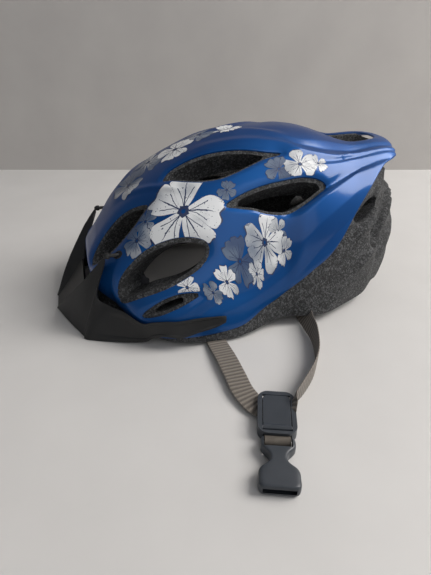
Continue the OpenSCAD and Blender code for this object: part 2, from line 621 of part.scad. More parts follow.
module flap() {
    barrel = flap_pin_d + 2;
    difference() {
        union() {
            translate([0, 0, divider_thick - flap_thick]) linear_extrude(flap_thick)
                plate(flap_start, pin_x, flap_wide, 3);
            translate([pin_x, flap_wide / 2, pin_z]) rotate([90, 0, 0])
                cylinder(d = barrel, h = flap_wide, $fn = 32);
        }
        translate([pin_x, flap_wide, pin_z]) rotate([90, 0, 0])
            cylinder(d = flap_pin_d + 2 * pin_play, h = 2 * flap_wide, $fn = 32);
    }
}
module flap_pin() {
    translate([pin_x, pin_length / 2 - 0.1, pin_z]) rotate([90, 0, 0])
        cylinder(d = flap_pin_d, h = pin_length - 0.2, $fn = 32);
}
module divider_left() color(buckle_colour) chain() divider();
module divider_right() color(buckle_colour) mirror([1, 0, 0]) chain() divider();
module flap_left() color(buckle_colour) chain() flap();
module flap_right() color(buckle_colour) mirror([1, 0, 0]) chain() flap();
module flap_pin_left() color([0.6, 0.6, 0.62]) chain() flap_pin();
module flap_pin_right() color([0.6, 0.6, 0.62]) mirror([1, 0, 0]) chain() flap_pin();

// ---- Side-release buckle ----
buckle_x = divider_length + 2;
bar_d = 3.2;
bar_x = buckle_x + bar_d / 2;
bar_z = buckle_thick / 2;
slot_long = 5;
module buckle_web() {
    turn = bar_d / 2 + 0.3;
    web_top = web_low + web_thick / 2 - 0.01;
    translate([0, web_width / 2, 0]) rotate([90, 0, 0]) linear_extrude(web_width) {
        difference() {
            translate([bar_x, bar_z]) circle(r = turn + web_thick, $fn = 48);
            translate([bar_x, bar_z]) circle(r = turn, $fn = 48);
            translate([bar_x - 20, bar_z - 10]) square([20, 20]);
        }
        polygon([[bar_x, bar_z - turn - web_thick], [bar_x, bar_z - turn],
            [buckle_x - 3, web_low + web_thick / 2], [22, web_low + web_thick / 2],
            [22, web_low - web_thick / 2], [buckle_x - 3, web_low - web_thick / 2]]);
        polygon([[bar_x, bar_z + turn], [bar_x, bar_z + turn + web_thick],
            [divider_length - 0.7, web_top + web_thick], [divider_length - 3.3, web_top + web_thick],
            [divider_length - 3.3, web_top], [divider_length - 0.6, web_top]]);
    }
}
module buckle_web_left() color(web_colour) chain() buckle_web();
module buckle_web_right() color(web_colour) mirror([1, 0, 0]) chain() buckle_web();
shoulder_wide = buckle_width - 2.5;
waist_half = 5.2;
flank_r = 8.5;
module buckle_end(body_end) {
    // Cross bar, side rails and the slot that the webbing turns through
    difference() {
        plate(buckle_x, body_end, shoulder_wide, 3.5);
        translate([buckle_x - 1, -web_room / 2]) square([bar_d + slot_long + 1, web_room]);
    }
}
module web_bar() {
    translate([bar_x, shoulder_wide / 2 - 1, bar_z]) rotate([90, 0, 0])
        cylinder(d = bar_d, h = shoulder_wide - 2, $fn = 24);
}
module buckle_socket() color(buckle_colour) chain() {
    finish = buckle_x + buckle_length;
    tall = buckle_thick - table_gap;
    difference() {
        union() {
            translate([0, 0, table_gap]) linear_extrude(tall) difference() {
                union() {
                    buckle_end(buckle_x + 15);
                    translate([buckle_x + bar_d + slot_long, -shoulder_wide / 2 + 2])
                        square([9, shoulder_wide - 4]);
                    plate(buckle_x + 11, finish, buckle_width, 3);
                }
                for (s = [-1, 1])
                    translate([buckle_x + 15.7, s * (waist_half + flank_r)]) circle(r = flank_r, $fn = 64);
            }
            web_bar();
        }
        translate([buckle_x + 13, -buckle_width / 2 + 2.3, (buckle_thick - mouth_height + table_gap) / 2])
            cube([buckle_length, buckle_width - 4.6, mouth_height]);
    }
}
module buckle_plug() color(buckle_colour) mirror([1, 0, 0]) chain() {
    base_end = buckle_x + 14;
    prong_long = 17;
    prong_half = (buckle_width - 5.4) / 2;
    tall = buckle_thick - table_gap;
    prong_tall = mouth_height - 0.8;
    translate([0, 0, table_gap]) linear_extrude(tall) buckle_end(base_end);
    web_bar();
    translate([0, 0, (buckle_thick - prong_tall + table_gap) / 2]) linear_extrude(prong_tall) {
        for (s = [-1, 1]) {
            translate([base_end - 1, s * (prong_half - 1.4) - 1]) square([prong_long - 4, 2]);
            translate([base_end + prong_long - 6.2, s * (prong_half - 2.2)]) circle(r = 2.9, $fn = 32);
        }
        translate([base_end - 1, -1.5]) square([prong_long, 3]);
        translate([base_end + prong_long - 1, 0]) circle(r = 1.5, $fn = 24);
    }
}

outer_shell();
foam_liner();
visor();
visor_peg_left();
visor_peg_right();
peg_grommet_left();
peg_grommet_right();
pad_brow();
pad_crown();
pad_left();
pad_right();
pad_rear_left();
pad_rear_right();
side_band_left();
side_band_right();
cradle();
dial_housing();
dial_knob();
dial_pinion();
rack_left();
rack_right();
anchor_front_left();
anchor_rear_left();
anchor_front_right();
anchor_rear_right();
strap_front_left();
strap_rear_left();
strap_front_right();
strap_rear_right();
divider_left();
divider_right();
flap_left();
flap_right();
flap_pin_left();
flap_pin_right();
buckle_web_left();
buckle_web_right();
buckle_socket();
buckle_plug();
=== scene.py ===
"""A vented cycling helmet on a pale table: glossy printed skin over bead foam, plug-in visor and webbing.

Every surface is worked out as whole numpy arrays, in millimetres, from the same form that the solids follow,
and is turned into metres when it becomes a mesh.
"""

import logging
import math
from dataclasses import dataclass, field
from enum import Enum

import bmesh
import bpy
import numpy as np
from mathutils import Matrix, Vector


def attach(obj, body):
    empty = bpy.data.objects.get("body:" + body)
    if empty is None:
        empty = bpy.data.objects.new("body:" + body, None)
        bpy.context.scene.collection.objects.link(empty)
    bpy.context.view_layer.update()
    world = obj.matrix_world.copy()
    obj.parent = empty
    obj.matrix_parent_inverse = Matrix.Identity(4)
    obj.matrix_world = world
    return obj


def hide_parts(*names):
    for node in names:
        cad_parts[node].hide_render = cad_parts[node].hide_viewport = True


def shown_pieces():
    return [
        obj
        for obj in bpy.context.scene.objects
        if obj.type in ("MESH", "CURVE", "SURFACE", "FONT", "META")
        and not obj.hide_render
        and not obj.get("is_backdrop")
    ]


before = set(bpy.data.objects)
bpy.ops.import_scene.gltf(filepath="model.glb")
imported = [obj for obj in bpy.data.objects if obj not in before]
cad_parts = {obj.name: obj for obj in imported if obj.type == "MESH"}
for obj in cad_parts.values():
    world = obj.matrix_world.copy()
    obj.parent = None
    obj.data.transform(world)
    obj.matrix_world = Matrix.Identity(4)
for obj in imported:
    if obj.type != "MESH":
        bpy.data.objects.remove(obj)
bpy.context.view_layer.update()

Array = np.ndarray
Keys = tuple[tuple[float, float], ...]
Outline = tuple[tuple[float, float], ...]
Colour = tuple[float, float, float]

logging.basicConfig(level=logging.INFO, format="%(message)s")
LOG = logging.getLogger("helmet")
MM = 0.001


# ---------------------------------------------------------------- numbers and curves


def spline(keys: Keys, at: Array | float) -> Array:
    """Smooth curve through keys: cubic Hermite pieces whose slopes are the mean of their neighbours' rises.

    Args:
        keys: (position, value) pairs with rising positions.
        at: positions to read, held inside the first and last key.

    Returns:
        The values, in the shape of at.
    """
    x, y = (np.array(column, float) for column in zip(*keys))
    rise = np.diff(y) / np.diff(x)
    slope = np.concatenate([rise[:1], (rise[:-1] + rise[1:]) / 2, rise[-1:]])
    t = np.clip(at, x[0], x[-1])
    i = np.clip(np.searchsorted(x, t, side="right") - 1, 0, len(x) - 2)
    h = x[i + 1] - x[i]
    s = (t - x[i]) / h
    return (
        (2 * s**3 - 3 * s**2 + 1) * y[i]
        + (s**3 - 2 * s**2 + s) * h * slope[i]
        + (3 * s**2 - 2 * s**3) * y[i + 1]
        + (s**3 - s**2) * h * slope[i + 1]
    )


def smooth(low: float, high: float, at: Array) -> Array:
    """Eased step from 0 at low to 1 at high."""
    s = np.clip((at - low) / (high - low), 0, 1)
    return s * s * (3 - 2 * s)


def bump(distance: Array) -> Array:
    """Bell curve of height 1 and half width 1."""
    return np.exp(-(distance**2))


def crease(distance: Array, width: float, soft: float = 0.12) -> Array:
    """Ridge of height 1 with straight flanks: 1 - |d| / width, eased at its foot and slightly at its top."""
    d = np.sqrt((distance / width) ** 2 + soft**2) - soft
    return np.clip(1 - d, 0, 1) ** 1.25


def fold(distance: Array, above: float, below: float, soft: float = 0.3) -> Array:
    """Moulded fold of height 1: it falls to 0 over above mm on its upper side and over below mm on its lower one."""
    d = np.sqrt(distance**2 + soft**2) - soft
    return np.clip(1 - d / np.where(distance > 0, below, above), 0, 1) ** 1.15


def unit(v: Array) -> Array:
    """Vectors of length one along the last axis."""
    return v / np.maximum(np.linalg.norm(v, axis=-1, keepdims=True), 1e-12)


def through(points: Array, steps: int, closed: bool = False) -> Array:
    """Catmull-Rom curve through points, with steps samples for each stretch.

    Args:
        points: (n, d) control points.
        steps: samples for each stretch.
        closed: whether the curve returns to its start.

    Returns:
        Samples in order; an open curve ends on its last point.
    """
    n = len(points)
    k = np.arange(n if closed else n - 1)
    wrap = (lambda i: i % n) if closed else (lambda i: np.clip(i, 0, n - 1))
    a, b, c, d = (points[wrap(k + j)][:, None] for j in (-1, 0, 1, 2))
    t = (np.arange(steps) / steps)[None, :, None]
    curve = 0.5 * (2 * b + (c - a) * t + (2 * a - 5 * b + 4 * c - d) * t**2 + (3 * b - a - 3 * c + d) * t**3)
    curve = curve.reshape(-1, points.shape[1])
    return curve if closed else np.vstack([curve, points[-1:]])


# ---------------------------------------------------------------- meshes


@dataclass
class Patch:
    """Vertices in millimetres with quads and triangles, before it becomes a mesh."""

    verts: Array
    quads: Array
    tris: Array = field(default_factory=lambda: np.zeros((0, 3), int))
    uv: Array | None = None

    def joined(self, other: "Patch") -> "Patch":
        """This patch and another, as one."""
        n = len(self.verts)
        uv = None if self.uv is None or other.uv is None else np.vstack([self.uv, other.uv])
        return Patch(
            np.vstack([self.verts, other.verts]),
            np.vstack([self.quads, other.quads + n]),
            np.vstack([self.tris, other.tris + n]),
            uv,
        )

    def mirrored(self) -> "Patch":
        """The same patch on the other side of the mid-plane, with its faces turned to stay outwards."""
        return Patch(self.verts * [-1, 1, 1], self.quads[:, ::-1], self.tris[:, ::-1], self.uv)


def grid_quads(rows: int, cols: int, around: bool = False, first: int = 0) -> Array:
    """Quads of a grid of rows by cols, facing columns x rows; around joins the last column to the first."""
    i, j = np.meshgrid(np.arange(rows - 1), np.arange(cols if around else cols - 1), indexing="ij")
    a, b = (i * cols + j).ravel(), (i * cols + (j + 1) % cols).ravel()
    return np.stack([a, b, b + cols, a + cols], -1) + first


def grid_patch(points: Array, around: bool = False) -> Patch:
    """A grid of points (rows, cols, 3) as an open surface, with its shares of rows and columns as UV."""
    rows, cols = points.shape[:2]
    v, u = np.meshgrid(np.linspace(0, 1, rows), np.linspace(0, 1, cols), indexing="ij")
    return Patch(points.reshape(-1, 3), grid_quads(rows, cols, around), uv=np.stack([u, v], -1).reshape(-1, 2))


def boundary(quads: Array, tris: Array) -> Array:
    """Directed edges of the faces that no other face shares, as (n, 2) vertex numbers."""
    edges = np.vstack(
        [quads[:, [k, (k + 1) % 4]] for k in range(4)] + [tris[:, [k, (k + 1) % 3]] for k in range(3)]
    ).astype(np.int64)
    top = int(edges.max()) + 1
    forward, backward = edges[:, 0] * top + edges[:, 1], edges[:, 1] * top + edges[:, 0]
    return edges[~np.isin(forward, backward)]


def slab_patch(outer: Array, inner: Array, keep: Array, wall_rows: int = 1, bow: float = 0.0) -> Patch:
    """Two layers over one grid, with walls along every edge, the edges of its holes included.

    A quad with all corners kept stays, one with three becomes a triangle. A wall's rows share the way from the
    outer to the inner edge evenly, and bow pushes their middle into the material.

    Args:
        outer: (rows, cols, 3) outer layer, facing columns x rows.
        inner: the inner layer, in the same shape.
        keep: (rows, cols) True where the material is.
        wall_rows: rows of faces in each wall.
        bow: how far a wall's middle is pushed in, in millimetres.

    Returns:
        A closed patch.
    """
    rows, cols = keep.shape
    quads = grid_quads(rows, cols)
    kept = keep.ravel()[quads]
    count = kept.sum(1)
    three = quads[count == 3]
    gone = np.argmin(kept[count == 3], 1)
    tris = three[np.arange(len(three))[:, None], (gone[:, None] + np.array([1, 2, 3])) % 4]
    quads = quads[count == 4]
    n = rows * cols
    edges = boundary(quads, tris)
    rim, at = np.unique(edges, return_inverse=True)
    at = at.reshape(edges.shape)
    top, low = outer.reshape(-1, 3)[rim], inner.reshape(-1, 3)[rim]
    # which way the material lies from each edge point: against the mean outward normal of its walls
    along = top[at[:, 1]] - top[at[:, 0]]
    out = unit(np.cross(along, low[at[:, 0]] - top[at[:, 0]]))
    push = np.zeros_like(top)
    np.add.at(push, at[:, 0], out)
    np.add.at(push, at[:, 1], out)
    push = unit(push)
    shares = (np.arange(1, wall_rows) / wall_rows)[:, None, None]
    middle = top + (low - top) * shares + push * bow * 4 * shares * (1 - shares)
    verts = np.vstack([outer.reshape(-1, 3), inner.reshape(-1, 3), middle.reshape(-1, 3)])
    level = [rim] + [2 * n + k * len(rim) + np.arange(len(rim)) for k in range(wall_rows - 1)] + [rim + n]
    walls = [
        np.stack([level[k][at[:, 1]], level[k][at[:, 0]], level[k + 1][at[:, 0]], level[k + 1][at[:, 1]]], -1)
        for k in range(wall_rows)
    ]
    return Patch(verts, np.vstack([quads, quads[:, ::-1] + n] + walls), np.vstack([tris, tris[:, ::-1] + n]))


class Shading(Enum):
    """How a piece's faces meet: all smooth, or creased where they turn by more than the angle in degrees."""

    SMOOTH = 180
    CREASED = 38
    FINE = 25


def make_piece(name: str, patch: Patch, shading: Shading = Shading.SMOOTH) -> bpy.types.Object:
    """A mesh object from a patch, in metres, at the origin, without the vertices that no face uses.

    Args:
        name: the piece's name.
        patch: its shape in millimetres.
        shading: how its faces meet.

    Returns:
        The new object.
    """
    loops = np.concatenate([patch.quads.ravel(), patch.tris.ravel()]).astype(np.int32)
    used, loops = np.unique(loops, return_inverse=True)
    totals = np.concatenate([np.full(len(patch.quads), 4), np.full(len(patch.tris), 3)]).astype(np.int32)
    mesh = bpy.data.meshes.new(name)
    mesh.vertices.add(len(used))
    mesh.vertices.foreach_set("co", (patch.verts[used] * MM).astype(np.float32).ravel())
    mesh.loops.add(len(loops))
    mesh.loops.foreach_set("vertex_index", loops.astype(np.int32).ravel())
    mesh.polygons.add(len(totals))
    mesh.polygons.foreach_set("loop_start", (np.cumsum(totals) - totals).astype(np.int32))
    mesh.polygons.foreach_set("loop_total", totals)
    if patch.uv is not None:
        layer = mesh.uv_layers.new(name="UVMap")
        layer.uv.foreach_set("vector", patch.uv[used][loops.ravel()].astype(np.float32).ravel())
    mesh.update(calc_edges=True)
    mesh.validate()
    mesh.polygons.foreach_set("use_smooth", np.ones(len(mesh.polygons), bool))
    if shading is not Shading.SMOOTH:
        mesh.set_sharp_from_angle(angle=math.radians(shading.value))
    piece = bpy.data.objects.new(name, mesh)
    bpy.context.scene.collection.objects.link(piece)
    return piece


def apply_modifiers(piece: bpy.types.Object) -> None:
    """Bakes the piece's modifiers into its mesh."""
    depsgraph = bpy.context.evaluated_depsgraph_get()
    mesh = bpy.data.meshes.new_from_object(piece.evaluated_get(depsgraph))
    piece.modifiers.clear()
    piece.data = mesh


# ---------------------------------------------------------------- the helmet's form


@dataclass(frozen=True)
class HelmetForm:
    """The outer form: sections fanned about a cross axis under the head, each a squared ellipse.

    Section angle 0 would point straight ahead, 90 is the crown and 180 straight back. The side angle runs from
    -90 at the wearer's right to 90 at the left. All lengths are in millimetres.
    """

    length: float = 293.0
    width: float = 214.0
    height: float = 151.0
    fan_drop: float = 60.0
    skin_first: float = 33.0
    skin_last: float = 125.0
    foam_first: float = 28.0
    foam_last: float = 147.0
    cavity_first: float = 33.0
    cavity_last: float = 143.0
    rim_rise: float = 3.0
    skin_wall: float = 1.6
    skin_gap: float = 0.3
    section_mm: float = 2.44
    side_mm: float = 1.87
    outline: Outline = (
        (-0.468, 0.139), (-0.495, 0.311), (-0.447, 0.556), (-0.328, 0.781), (-0.177, 0.934), (-0.017, 1.0),
        (0.143, 0.987), (0.297, 0.907), (0.505, 0.834), (0.505, 0.411), (0.427, 0.013),
    )
    breadth: Keys = ((20, 1.065), (60, 1.02), (90, 0.945), (120, 0.98), (135, 0.905), (165, 0.905))
    squareness: Keys = ((28, 3.1), (50, 2.7), (80, 2.25), (110, 2.3), (153, 2.4))
    skin_edge: Keys = (
        (33, 0.06), (50, 0.073), (65, 0.093), (78, 0.146), (90, 0.199), (105, 0.325), (113, 0.45),
        (117, 0.642), (121, 0.788), (125, 0.828),
    )
    rim_edge: Keys = ((28, 8), (40, 5), (60, 4.5), (75, 7), (90, 10), (120, 9), (140, 11), (147, 16))
    foam_keys: Keys = ((28, 30), (60, 25), (100, 25), (130, 35), (150, 35))

    def radius(self, th: Array) -> Array:
        """Mid-plane distance from the fan axis."""
        keys = tuple(
            (math.degrees(math.atan2(z * self.height + self.fan_drop, -y * self.length)),
             math.hypot(y * self.length, z * self.height + self.fan_drop))
            for y, z in self.outline
        )
        return spline(keys, th)

    def brow_lip(self, th: Array, ph: Array) -> Array:
        """How far the brow's foot runs forward between the visor's prongs, in millimetres."""
        keys = ((33, 11), (36, 9), (40, 3.6), (44, 0.9), (48, 0))
        return spline(keys, th) * (1 - smooth(12, 24, np.abs(ph)))

    def point(self, th: Array, ph: Array, off: Array | float = 0.0) -> Array:
        """Point at a section angle and a side angle, off millimetres outside the form."""
        th, ph, off = np.broadcast_arrays(np.asarray(th, float), ph, off)
        n = spline(self.squareness, th)
        c = np.abs(np.cos(np.radians(ph))) ** (2 / n)
        s = np.sign(ph) * np.abs(np.sin(np.radians(ph))) ** (2 / n)
        p = (self.radius(th) + off) * c
        q = (spline(self.breadth, th) * self.width / 2 + off) * s
        t = np.radians(th)
        return np.stack([q, -p * np.cos(t), p * np.sin(t) - self.fan_drop], -1)

    def side_at(self, th: Array, z: Array, off: Array | float = 0.0) -> Array:
        """Side angle at which a section comes down to the height z."""
        n = spline(self.squareness, th)
        share = np.clip((z + self.fan_drop) / np.sin(np.radians(th)) / (self.radius(th) + off), 0, 1)
        return np.degrees(np.arccos(share ** (n / 2)))

    def skin_side(self, th: Array) -> Array:
        """Side angle of the skin's lower edge."""
        return self.side_at(th, spline(self.skin_edge, np.clip(th, self.skin_first, self.skin_last)) * self.height)

    def rim_side(self, th: Array) -> Array:
        """Side angle of the foam's rim."""
        return self.side_at(th, spline(self.rim_edge, th))

    def foam_at(self, th: Array) -> Array:
        """Thickness of the foam."""
        return spline(self.foam_keys, th)

    def cavity_side(self, th: Array) -> Array:
        """Side angle of the inner rim."""
        return self.side_at(th, spline(self.rim_edge, th) + self.rim_rise, -self.foam_at(th))


FORM = HelmetForm()


@dataclass(frozen=True)
class Opening:
    """An opening whose outline is drawn in section and side angles, on the left or the middle.

    Distances are taken in the flattened surface, where a degree of section is section_mm and a degree of side
    is side_mm long. The skin falls by drop millimetres over the bevel's width towards the opening.
    """

    name: str
    rim: Outline
    paired: bool = True
    bevel: float = 3.0
    drop: float = 1.0

    def outlines(self) -> list[Array]:
        """The closed outlines in flattened millimetres, one for each side that has the opening."""
        curve = through(np.array(self.rim, float), 10, closed=True) * [FORM.section_mm, FORM.side_mm]
        return [curve, curve[::-1] * [1, -1]] if self.paired else [curve]


def nearest_on(outline: Array, flat: Array) -> tuple[Array, Array]:
    """Signed distance from flattened points to a closed outline, positive outside, and the nearest point.

    Args:
        outline: (m, 2) corners of the closed outline.
        flat: (n, 2) points.

    Returns:
        The distances and the nearest points on the outline.
    """
    a, b = outline, np.roll(outline, -1, 0)
    ab = b - a
    ap = flat[:, None] - a[None]
    t = np.clip((ap * ab).sum(-1) / (ab * ab).sum(-1), 0, 1)
    q = a + t[..., None] * ab
    d = np.linalg.norm(flat[:, None] - q, axis=-1)
    k = np.argmin(d, 1)
    row = np.arange(len(flat))
    crossing = (a[:, 1] > flat[:, None, 1]) != (b[:, 1] > flat[:, None, 1])
    at_x = a[:, 0] + (flat[:, None, 1] - a[:, 1]) / np.where(ab[:, 1] == 0, 1e-9, ab[:, 1]) * ab[:, 0]
    inside = (crossing & (flat[:, None, 0] < at_x)).sum(1) % 2 == 1
    return np.where(inside, -d[row, k], d[row, k]), q[row, k]


def segment_distance(flat: Array, a: tuple[float, float], b: tuple[float, float]) -> Array:
    """Distance in flattened millimetres from points to the segment between two pairs of angles."""
    start, stop = (np.array(p) * [FORM.section_mm, FORM.side_mm] for p in (a, b))
    way = stop - start
    t = np.clip(((flat - start) @ way) / (way @ way), 0, 1)
    return np.linalg.norm(flat - start - t[..., None] * way, axis=-1)


def open_up(th: Array, ph: Array, openings: list[tuple[Opening, float]], cell: float) -> tuple[Array, ...]:
    """Fits a grid of angles to the outlines of its openings.

    Points within half a cell of an outline are moved onto it, and those inside are dropped. An outline is taken
    inset millimetres inside the opening's own.

    Args:
        th: (rows, cols) section angles.
        ph: (rows, cols) side angles.
        openings: each opening with its inset.
        cell: the size of the grid's cells in millimetres.

    Returns:
        The fitted angles, which points stay, and their distance to the nearest outline.
    """
    flat = np.stack([th * FORM.section_mm, ph * FORM.side_mm], -1).reshape(-1, 2)
    keep = np.ones(len(flat), bool)
    reach = np.full(len(flat), 99.0)
    for opening, inset in openings:
        for outline in opening.outlines():
            low, high = outline.min(0) - 14, outline.max(0) + 14
            near = np.flatnonzero(((flat > low) & (flat < high)).all(1))
            if not len(near):
                continue
            d, q = nearest_on(outline, flat[near])
            away = d + inset
            normal = np.where(np.abs(d)[:, None] > 1e-6, (flat[near] - q) / np.where(d == 0, 1, d)[:, None], 0)
            snap = np.abs(away) < 0.55 * cell
            flat[near[snap]] = (q - normal * inset)[snap]
            away = np.where(snap, 0, away)
            keep[near[away < 0]] = False
            reach[near] = np.minimum(reach[near], np.maximum(away, 0))
    angles = flat.reshape(*th.shape, 2) / [FORM.section_mm, FORM.side_mm]
    return angles[..., 0], angles[..., 1], keep.reshape(th.shape), reach.reshape(th.shape)


CROWN_VENT = Opening(
    "crown_vent",
    ((64.5, 14.6), (66.8, 12.3), (70, 12.4), (73.8, 13.2), (77.8, 14.8), (82.2, 17), (86.5, 19.5), (90, 21.7),
     (94.4, 23.7), (89.2, 25.3), (85, 27), (81, 28), (77.2, 28), (73, 26), (69.5, 22.4), (66.6, 18)),
)
TEMPLE_VENT = Opening(
    "temple_vent",
    ((75.6, 37.4), (80.8, 35.8), (86.2, 35), (93.2, 34.2), (99, 33.6), (103.5, 33.8), (105.8, 35.5),
     (103.5, 38.5), (100.5, 41.4), (96, 44.4), (92.2, 45.4), (87, 44.2), (83, 42), (79, 40)),
)
CHEEK_VENT = Opening(
    "cheek_vent",
    ((35.4, 29), (38, 28.4), (41.8, 29.3), (46.5, 30.9), (51.5, 33), (56.2, 35.6), (60.5, 38.4), (64.5, 42),
     (66.6, 45.2), (65.6, 47.8), (62.8, 49.4), (58.5, 50), (53, 49.2), (47.8, 46.9), (41.8, 41.6), (37, 34.5)),
    bevel=9.0,
    drop=2.2,
)
BROW_VENT = Opening(
    "brow_vent",
    ((58.6, 19.2), (54.8, 13.8), (50, 10), (45.2, 7.6), (40.5, 7), (37, 8.4), (37.8, 12), (41.4, 16.4),
     (46.8, 20.3), (51.5, 21.8), (55.5, 21.2)),
    bevel=7.0,
    drop=1.8,
)
JAW_VENT = Opening(
    "jaw_vent",
    ((36.4, 43.2), (41.2, 46.6), (46.2, 49.5), (51.2, 52.7), (56, 56.6), (51.5, 56.4), (46.8, 54.9),
     (41.5, 51.7), (38, 47.4)),
    bevel=4.5,
    drop=1.1,
)
TAIL_VENT = Opening(
    "tail_vent",
    ((107, 0), (109.5, 4), (113.5, 6.6), (118, 7.4), (121.6, 5.6), (122.8, 0), (121.6, -5.6), (118, -7.4),
     (113.5, -6.6), (109.5, -4)),
    paired=False,
)
SKIN_OPENINGS = [CROWN_VENT, TEMPLE_VENT, CHEEK_VENT, BROW_VENT, JAW_VENT, TAIL_VENT]
NAPE_SCOOPS = [
    Opening("nape_scoop_upper", ((116.6, 44.6), (118.6, 40.2), (121.2, 37), (123.4, 35.4), (124.3, 37.2),
                                 (122.8, 41), (120.4, 44.6), (117.8, 46.4))),
    Opening("nape_scoop_lower", ((126, 53.4), (126.6, 48.6), (128.6, 44), (130.4, 42.2), (131.2, 44.2),
                                 (130.6, 49), (129, 53.4), (127.2, 55))),
    Opening("nape_duct", ((128.8, 9), (130, 13), (130.6, 19), (131.2, 27), (130.8, 30), (128.6, 27), (127.4, 19),
                          (126.8, 12))),
]


class SkinRelief:
    """The skin's crests, facets and lips: each is a crease or step along a line of side angle over section."""

    spine_edge: Keys = ((66, 0.4), (76, 1), (79.5, 3.3), (83, 3.9), (88, 6.2), (94, 11.5), (98.5, 15.6), (104, 15.4),
                        (109, 13), (116, 11.4), (125, 10.6))
    crest: Keys = ((70, 8), (76, 9.6), (81.5, 11.8), (87.5, 14.5), (92, 17), (96.8, 19.5), (104, 21.8))
    ridge_a: Keys = ((93, 22.6), (97.5, 22.2), (102.3, 23.3), (108.3, 22.4), (114, 18.8), (118.5, 17.2), (122, 16.2),
                     (125, 15.6))
    ridge_b: Keys = ((99, 32.5), (104.8, 28.5), (108.8, 25.8), (113.8, 22), (118, 20.2), (122, 19), (125, 18.2))
    ridge_c: Keys = ((92, 49.5), (95.8, 47.8), (99.2, 45.2), (103.5, 41.2), (108.2, 36.2), (111.8, 31.8), (115, 28),
                     (118.2, 26), (121.5, 24), (125, 22))
    brow_line: Keys = ((50.5, 0), (54.5, 4), (58.8, 10), (61.5, 14.2), (64.5, 19.8), (67.5, 24.5))
    low_crease: Keys = ((46, 61), (52, 61.6), (63, 62.4), (76, 62.6), (90, 60), (100, 54))

    def facets(self, th: Array, side: Array) -> Array:
        """Flat facets of the rear: the height runs straight from each crest to the hollow beside it and on.

        Each knot is a side angle and a height in millimetres; between neighbouring knots the height is linear.
        """
        rear, tail = smooth(92, 99, th), 1 - 0.55 * smooth(114, 125, th)
        spine, a, b, c = (spline(line, th) for line in (self.spine_edge, self.ridge_a, self.ridge_b, self.ridge_c))
        hollow = smooth(99, 106, th)
        knots = (
            (0 * th, 0.2), (spine, 0.9), (spine + 0.5 * (a - spine), -1.2 * hollow), (a, 2.3), (a + 0.55 * (b - a), 0.4),
            (b, 1.6), (b + 0.75 * (c - b), -0.8), (c, 2.2), (c + 8.0, 2.9), (c + 17.0, 0.0),
        )
        out = 0 * th + knots[0][1]
        for (start, low), (stop, high) in zip(knots, knots[1:]):
            out = out + (high - low) * np.clip((side - start) / np.maximum(stop - start, 0.4), 0, 1)
        return out * rear * tail

    def height(self, th: Array, ph: Array) -> Array:
        """How far the relief stands off the plain form, in millimetres."""
        side = np.abs(ph)

        def away(line: Keys) -> Array:
            """Distance from a line, positive on the lower side."""
            return (side - spline(line, th)) * FORM.side_mm

        spine, crest, low = away(self.spine_edge), away(self.crest), away(self.ridge_c)
        early = smooth(72, 84, th) * (1 - smooth(92, 99, th))
        out = early * (1.1 * fold(spine, 8, 9) - 1.0 * smooth(1, -8, spine)) + self.facets(th, side)
        out += 1.2 * smooth(70, 80, th) * (1 - smooth(96, 101, th)) * fold(crest, 6, 7)
        out += -0.7 * smooth(91, 95, th) * (1 - smooth(106, 112, th)) * bump((low + 6.5) / 2.5)
        out += 1.4 * smooth(49, 53, th) * (1 - smooth(65, 69, th)) * fold(away(self.brow_line), 6, 5)
        out += -0.9 * crease(away(self.low_crease), 5) * smooth(44, 56, th) * (1 - smooth(92, 100, th))
        return out


RELIEF = SkinRelief()


def edge_drop(th: Array, ph: Array, openings: list[Opening]) -> Array:
    """How far the skin falls towards its openings: drop x (1 - distance / bevel) squared, the deepest of them.

    Args:
        th: section angles.
        ph: side angles.
        openings: the openings to fall towards.

    Returns:
        The fall in millimetres.
    """
    flat = np.stack([th * FORM.section_mm, ph * FORM.side_mm], -1).reshape(-1, 2)
    fall = np.zeros(len(flat))
    for opening in openings:
        for outline in opening.outlines():
            low, high = outline.min(0) - opening.bevel, outline.max(0) + opening.bevel
            near = np.flatnonzero(((flat > low) & (flat < high)).all(1))
            if len(near):
                away, _ = nearest_on(outline, flat[near])
                share = np.clip(1 - np.maximum(away, 0) / opening.bevel, 0, 1)
                fall[near] = np.maximum(fall[near], opening.drop * share**1.7)
    return fall.reshape(th.shape)


@dataclass
class Shell:
    """The moulded skin: one sheet with bevels round its openings and a turned-in lower edge."""

    rows: int = 190
    cols: int = 212
    hem: float = 2.4
    hem_drop: float = 1.0

    def offset(self, th: Array, ph: Array) -> Array:
        """How far the outer face stands off the form: relief, less the bevels and the turned-in lower edge."""
        border = np.minimum((FORM.skin_side(th) - np.abs(ph)) * FORM.side_mm,
                            (FORM.skin_last - th) * FORM.section_mm)
        hem = np.clip(1 - np.maximum(border, 0) / self.hem, 0, 1)
        rise = RELIEF.height(th, ph) + FORM.brow_lip(th, ph)
        return rise - edge_drop(th, ph, SKIN_OPENINGS) - self.hem_drop * hem**2.2

    def surface(self, th: Array, ph: Array, lift: float = 0.0) -> Array:
        """Points of the outer face, raised by lift."""
        return FORM.point(th, ph, self.offset(th, ph) + lift)

    def build(self) -> bpy.types.Object:
        """Makes the piece: a grid of equal shares of each section between its lower edges."""
        th = np.linspace(FORM.skin_first, FORM.skin_last, self.rows)[:, None] + np.zeros(self.cols)
        ph = np.linspace(-1, 1, self.cols) * FORM.skin_side(th)
        cell = (FORM.skin_last - FORM.skin_first) * FORM.section_mm / self.rows
        th, ph, keep, _ = open_up(th, ph, [(o, 0.0) for o in SKIN_OPENINGS], cell)
        off = self.offset(th, ph)
        patch = slab_patch(FORM.point(th, ph, off), FORM.point(th, ph, off - FORM.skin_wall), keep)
        piece = make_piece("helmet_skin", patch, Shading.CREASED)
        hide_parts("outer_shell")
        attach(piece, "helmet")
        return piece


SHELL = Shell()


